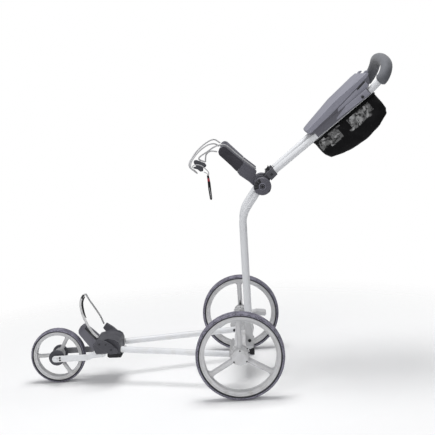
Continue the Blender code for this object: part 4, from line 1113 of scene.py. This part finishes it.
FAR_ROUTE = [(-0.0345, arm_middle(-0.0345, 0.806) + 0.004, 0.8060), (-0.0560, 0.1330, 0.8205),
             (-0.0810, 0.1130, 0.8140), (-0.1130, 0.0800, 0.7910), (-0.1340, 0.0460, 0.7660),
             (-0.1440, 0.0160, 0.7480), (-0.1400, 0.0090, 0.7340), (-0.1270, 0.0080, 0.7250),
             (-0.1180, 0.0000, 0.7160), (-0.1270, -0.0080, 0.7250), (-0.1375, -0.0085, 0.7360),
             (-0.1370, 0.0030, 0.7520), (-0.1240, 0.0330, 0.7720), (-0.1050, 0.0640, 0.7900),
             (-0.0790, 0.0900, 0.8050), (-0.0560, 0.1080, 0.8070),
             (-0.0392, arm_middle(-0.0392, 0.795) - 0.004, 0.7955)]
NEAR_ROUTE = [(0.0860, -arm_middle(0.0860, 0.7245), 0.7262),
              (0.0640, -arm_middle(0.0640, 0.7430), 0.7458),
              (0.0450, -arm_middle(0.0450, 0.7610), 0.7630),
              (0.0200, -arm_middle(0.0200, 0.7840), 0.7870),
              (-0.0060, -arm_middle(-0.0060, 0.8080), 0.8120),
              (-0.0240, -arm_middle(-0.0240, 0.8160), 0.8180),
              (-0.0480, -0.1350, 0.8120), (-0.0740, -0.1050, 0.7950),
              (-0.0960, -0.0560, 0.7800), (-0.1070, -0.0170, 0.7690), (-0.1060, 0.0, 0.7615),
              (-0.0960, 0.0040, 0.7570), (-0.0870, 0.0, 0.7540), (-0.0850, -0.0170, 0.7620),
              (-0.0790, -0.0600, 0.7835), (-0.0620, -0.1060, 0.7965),
              (-0.0392, -arm_middle(-0.0392, 0.795) + 0.004, 0.7955)]
LOOP_ROUTE = [(-0.0932, 0.0, 0.7180), (-0.0880, 0.0040, 0.7150), (-0.0830, 0.0030, 0.7120),
              (-0.0815, 0.0, 0.7075)]
STRAP_ROUTE = [(-0.4860, -0.1150, 0.1815), (-0.5050, -0.1125, 0.2020),
               (-0.5255, -0.0980, 0.2320), (-0.5420, -0.0760, 0.2640),
               (-0.5490, -0.0500, 0.2920), (-0.5440, -0.0200, 0.3090),
               (-0.5390, 0.0100, 0.3090), (-0.5400, 0.0380, 0.2960),
               (-0.5350, 0.0640, 0.2720), (-0.5230, 0.0880, 0.2400),
               (-0.5090, 0.1060, 0.2050), (-0.4990, 0.1155, 0.1720)]


def elastic(name, route, radius, node, body, look, pieces=(), wider=0.0):
    """A cord from one anchor on the trolley to the other; wider swells its first half."""
    path = smooth_path([at(*p) for p in route], 0.004)
    length = sum((b - a).length for a, b in zip(path, path[1:]))
    ends = rounded_ends(length, 0.0015)

    def profile(t):
        return ends(t) * (1.0 + wider * min(1.0, max(0.0, (0.50 - t) * 20)))

    piece = tube(name, path, radius, body, look, 16, profile=profile)
    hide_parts(node)
    tuple(path[0])
    [tuple(p) for p in path]


def hanging_tab():
    """The webbing pull tab with its red patch and the pale piping sewn along its lower end."""
    outline = [(-0.0845, 0.7060), (-0.0775, 0.7060), (-0.0735, 0.6800), (-0.0705, 0.6250),
               (-0.0725, 0.6200), (-0.0785, 0.6220), (-0.0825, 0.6600), (-0.0835, 0.6900)]
    tab = slab("webbing_tab", [shifted(outline, (AXLE_X, 0.0))], 0.0, 0.0028, 0.0006,
               "rear_frame", "webbing")
    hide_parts("pull_tab")
    patch = [(-0.0833, 0.6960), (-0.0765, 0.6960), (-0.0750, 0.6850), (-0.0831, 0.6850)]
    slab("tab_patch", [shifted(patch, (AXLE_X, 0.0))], 0.0, 0.0036, 0.0004, "rear_frame", "red")
    loop = [(-0.0790, -0.0020, 0.6640), (-0.0765, -0.0021, 0.6500), (-0.0745, -0.0021, 0.6330),
            (-0.0745, -0.0020, 0.6260)]
    tube("tab_piping", smooth_path([at(*p) for p in loop], 0.003), 0.0010, "rear_frame", "cord",
         10)


def hook_cords():
    """The loop that carries the tab, and the turn of cord that lies over the hook's face."""
    loop = tube("hook_loop_cord", smooth_path([at(*p) for p in LOOP_ROUTE], 0.002), 0.0014,
                "rear_frame", "cord", 12)
    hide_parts("hook_loop")
    turn = [(-0.1330, -0.0075, 0.7360), (-0.1280, -0.0080, 0.7440), (-0.1150, -0.0080, 0.7455),
            (-0.1010, -0.0078, 0.7410), (-0.0900, -0.0072, 0.7320), (-0.0800, -0.0050, 0.7210),
            (-0.0770, -0.0030, 0.7120), (-0.0795, -0.0020, 0.7065)]
    over = tube("hook_turn_cord", smooth_path([at(*p) for p in turn], 0.003), 0.0017,
                "rear_frame", "cord", 12)
    return [loop, over]


def inner_line(path, reach):
    """The points moved square to the path, towards the inside of the loop in the side view."""
    found = []
    for before, here, after in zip(path, path[1:], path[2:]):
        ahead = after - before
        found.append(here + Vector((ahead.z, 0.0, -ahead.x)).normalized() * reach)
    return found


def strap_backing():
    """The black band behind the strap's near half, and the black clip at the strap's top."""
    path = smooth_path([at(*p) for p in STRAP_ROUTE], 0.004)
    backed = [point for point in path if point.y < -0.010 and point.z > 0.238]
    band = tube("strap_band", inner_line(backed, 0.0066), 0.0034, "front_frame", "webbing", 14,
                profile=lambda t: 0.35 + 0.65 * math.sin(math.pi * t))
    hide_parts("strap_tab")
    top = [point for point in path if -0.038 < point.y < -0.014 and point.z > 0.25]
    clip = tube("strap_clip", top, 0.0042, "front_frame", "black", 16)
    return [band, clip]


hanging_tab()
elastic("bungee_far_cord", FAR_ROUTE, 0.0025, "bungee_far", "rear_frame", "cord",
        [frame["nodes"]["bungee_hook"], *hook_cords()])
elastic("bungee_near_cord", NEAR_ROUTE, 0.0025, "bungee_near", "rear_frame", "cord")
elastic("toe_strap_cord", STRAP_ROUTE, 0.0032, "toe_strap", "front_frame", "strap",
        strap_backing(), wider=0.3)


# ---------------------------------------------------------------- net under the console
NET_LOW, NET_HIGH = 0.024, 0.276
NET_RIM_N = -0.0165


def net_half_width(along):
    return 0.088 + 0.235 * (along - NET_LOW)


def net_loop(inset, corner=0.022, steps=8, runs=16):
    """The rim's rounded plan, as points along the legs and across, evenly filled."""
    low, high = NET_LOW + inset, NET_HIGH - inset
    corners = []
    for centre_u, turn, sign in ((high - corner, 0, 1), (low + corner, 90, 1),
                                 (low + corner, 180, -1), (high - corner, 270, -1)):
        centre_y = sign * (net_half_width(centre_u) - inset - corner)
        corners.append(arc((centre_u, centre_y), corner, turn, turn + 90, steps))
    found = []
    for this, following in zip(corners, corners[1:] + corners[:1]):
        found += this
        a, b = Vector(this[-1]), Vector(following[0])
        found += [tuple(a.lerp(b, step / runs)) for step in range(1, runs)]
    return found


def net_depth(along):
    """How far the net hangs below its rim: least at the low end, most past the middle."""
    t = (along - NET_LOW) / (NET_HIGH - NET_LOW)
    return 0.064 + 0.100 * t - 0.092 * t * t


def in_window(along, across, depth):
    """Whether a point of the net's side lies in one of its grey mesh windows."""
    if abs(across) < net_half_width(along) * 0.80:
        return False
    skew = along + 0.35 * (depth - 0.02)
    upper = 0.006 < depth < 0.044 and 0.150 < skew < 0.238
    lower = 0.001 < depth < 0.040 and 0.062 < skew < 0.112
    lowest = 0.001 < depth < 0.032 and 0.028 < skew < 0.057
    return upper or lower or lowest


def net():
    """A basin of black net cloth hung from the rim: it sags, wrinkles, and has mesh windows."""
    top = NET_RIM_N - 0.0025
    plan = net_loop(0.001)
    centre = Vector((sum(p[0] for p in plan) / len(plan), 0.0))
    levels = [(0.0, 1.0), (0.45, 1.0), (0.76, 0.985), (0.93, 0.92), (1.0, 0.62)]
    rows_down = []
    for (d0, s0), (d1, s1) in zip(levels, levels[1:]):
        parts = 9 if d0 < 0.7 else 5
        rows_down += [(d0 + (d1 - d0) * i / parts, s0 + (s1 - s0) * i / parts)
                      for i in range(parts)]
    rows_down += [(1.0, 0.62), (1.0, 0.45), (1.0, 0.28), (1.0, 0.12)]
    shape = bmesh.new()
    rows, marks = [], []
    for depth_share, scale in rows_down:
        row = []
        for index, (along, across) in enumerate(plan):
            spot = centre + (Vector((along, across)) - centre) * scale
            depth = depth_share * net_depth(spot.x)
            fold = noise.noise(Vector((spot.x * 38, spot.y * 30, depth * 16)))
            ripple = noise.noise(Vector((spot.x * 110, spot.y * 90, depth * 45 + 7.0)))
            slack = min(1.0, depth_share * 4) * (0.0022 * fold + 0.0009 * ripple)
            sag = 0.009 * depth_share ** 2 * max(0.0, math.cos(2.2 * (spot.x - centre.x) / 0.25))
            swell = 1.0 + slack / 0.10
            outer = centre + (spot - centre) * swell
            row.append(shape.verts.new(on_leg(outer.x, outer.y, top - depth - sag - slack * scale)))
            marks.append((outer.x, outer.y, depth))
        rows.append(row)
    count = len(plan)
    place = {}
    for row_index, row in enumerate(rows):
        for index, vertex in enumerate(row):
            place[vertex] = marks[row_index * count + index]
    for upper, lower in zip(rows, rows[1:]):
        for index in range(count):
            following = (index + 1) % count
            face = shape.faces.new((upper[index], upper[following], lower[following],
                                    lower[index]))
            middle = [sum(place[v][axis] for v in face.verts) / 4 for axis in range(3)]
            face.material_index = 1 if in_window(*middle) else 0
    bottom = shape.verts.new(on_leg(centre.x, 0.0, top - net_depth(centre.x)))
    for index in range(count):
        shape.faces.new((rows[-1][index], rows[-1][(index + 1) % count], bottom))
    bmesh.ops.recalc_face_normals(shape, faces=shape.faces)
    area = sum(face.calc_area() for face in shape.faces)
    mesh = bpy.data.meshes.new("net_basin")
    shape.to_mesh(mesh)
    shape.free()
    basin = add("net_basin", mesh, "handle", ["cloth", "mesh"], 80)
    thick = basin.modifiers.new("cloth_thickness", "SOLIDIFY")
    thick.thickness = 0.0012
    thick.offset = 0.0
    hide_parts("net_bag")
    hem = tube("net_hem", [on_leg(u, y, NET_RIM_N) for u, y in net_loop(0.0)], 0.0024, "handle",
               "cloth", 14, closed=True)
    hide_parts("net_rim")


net()
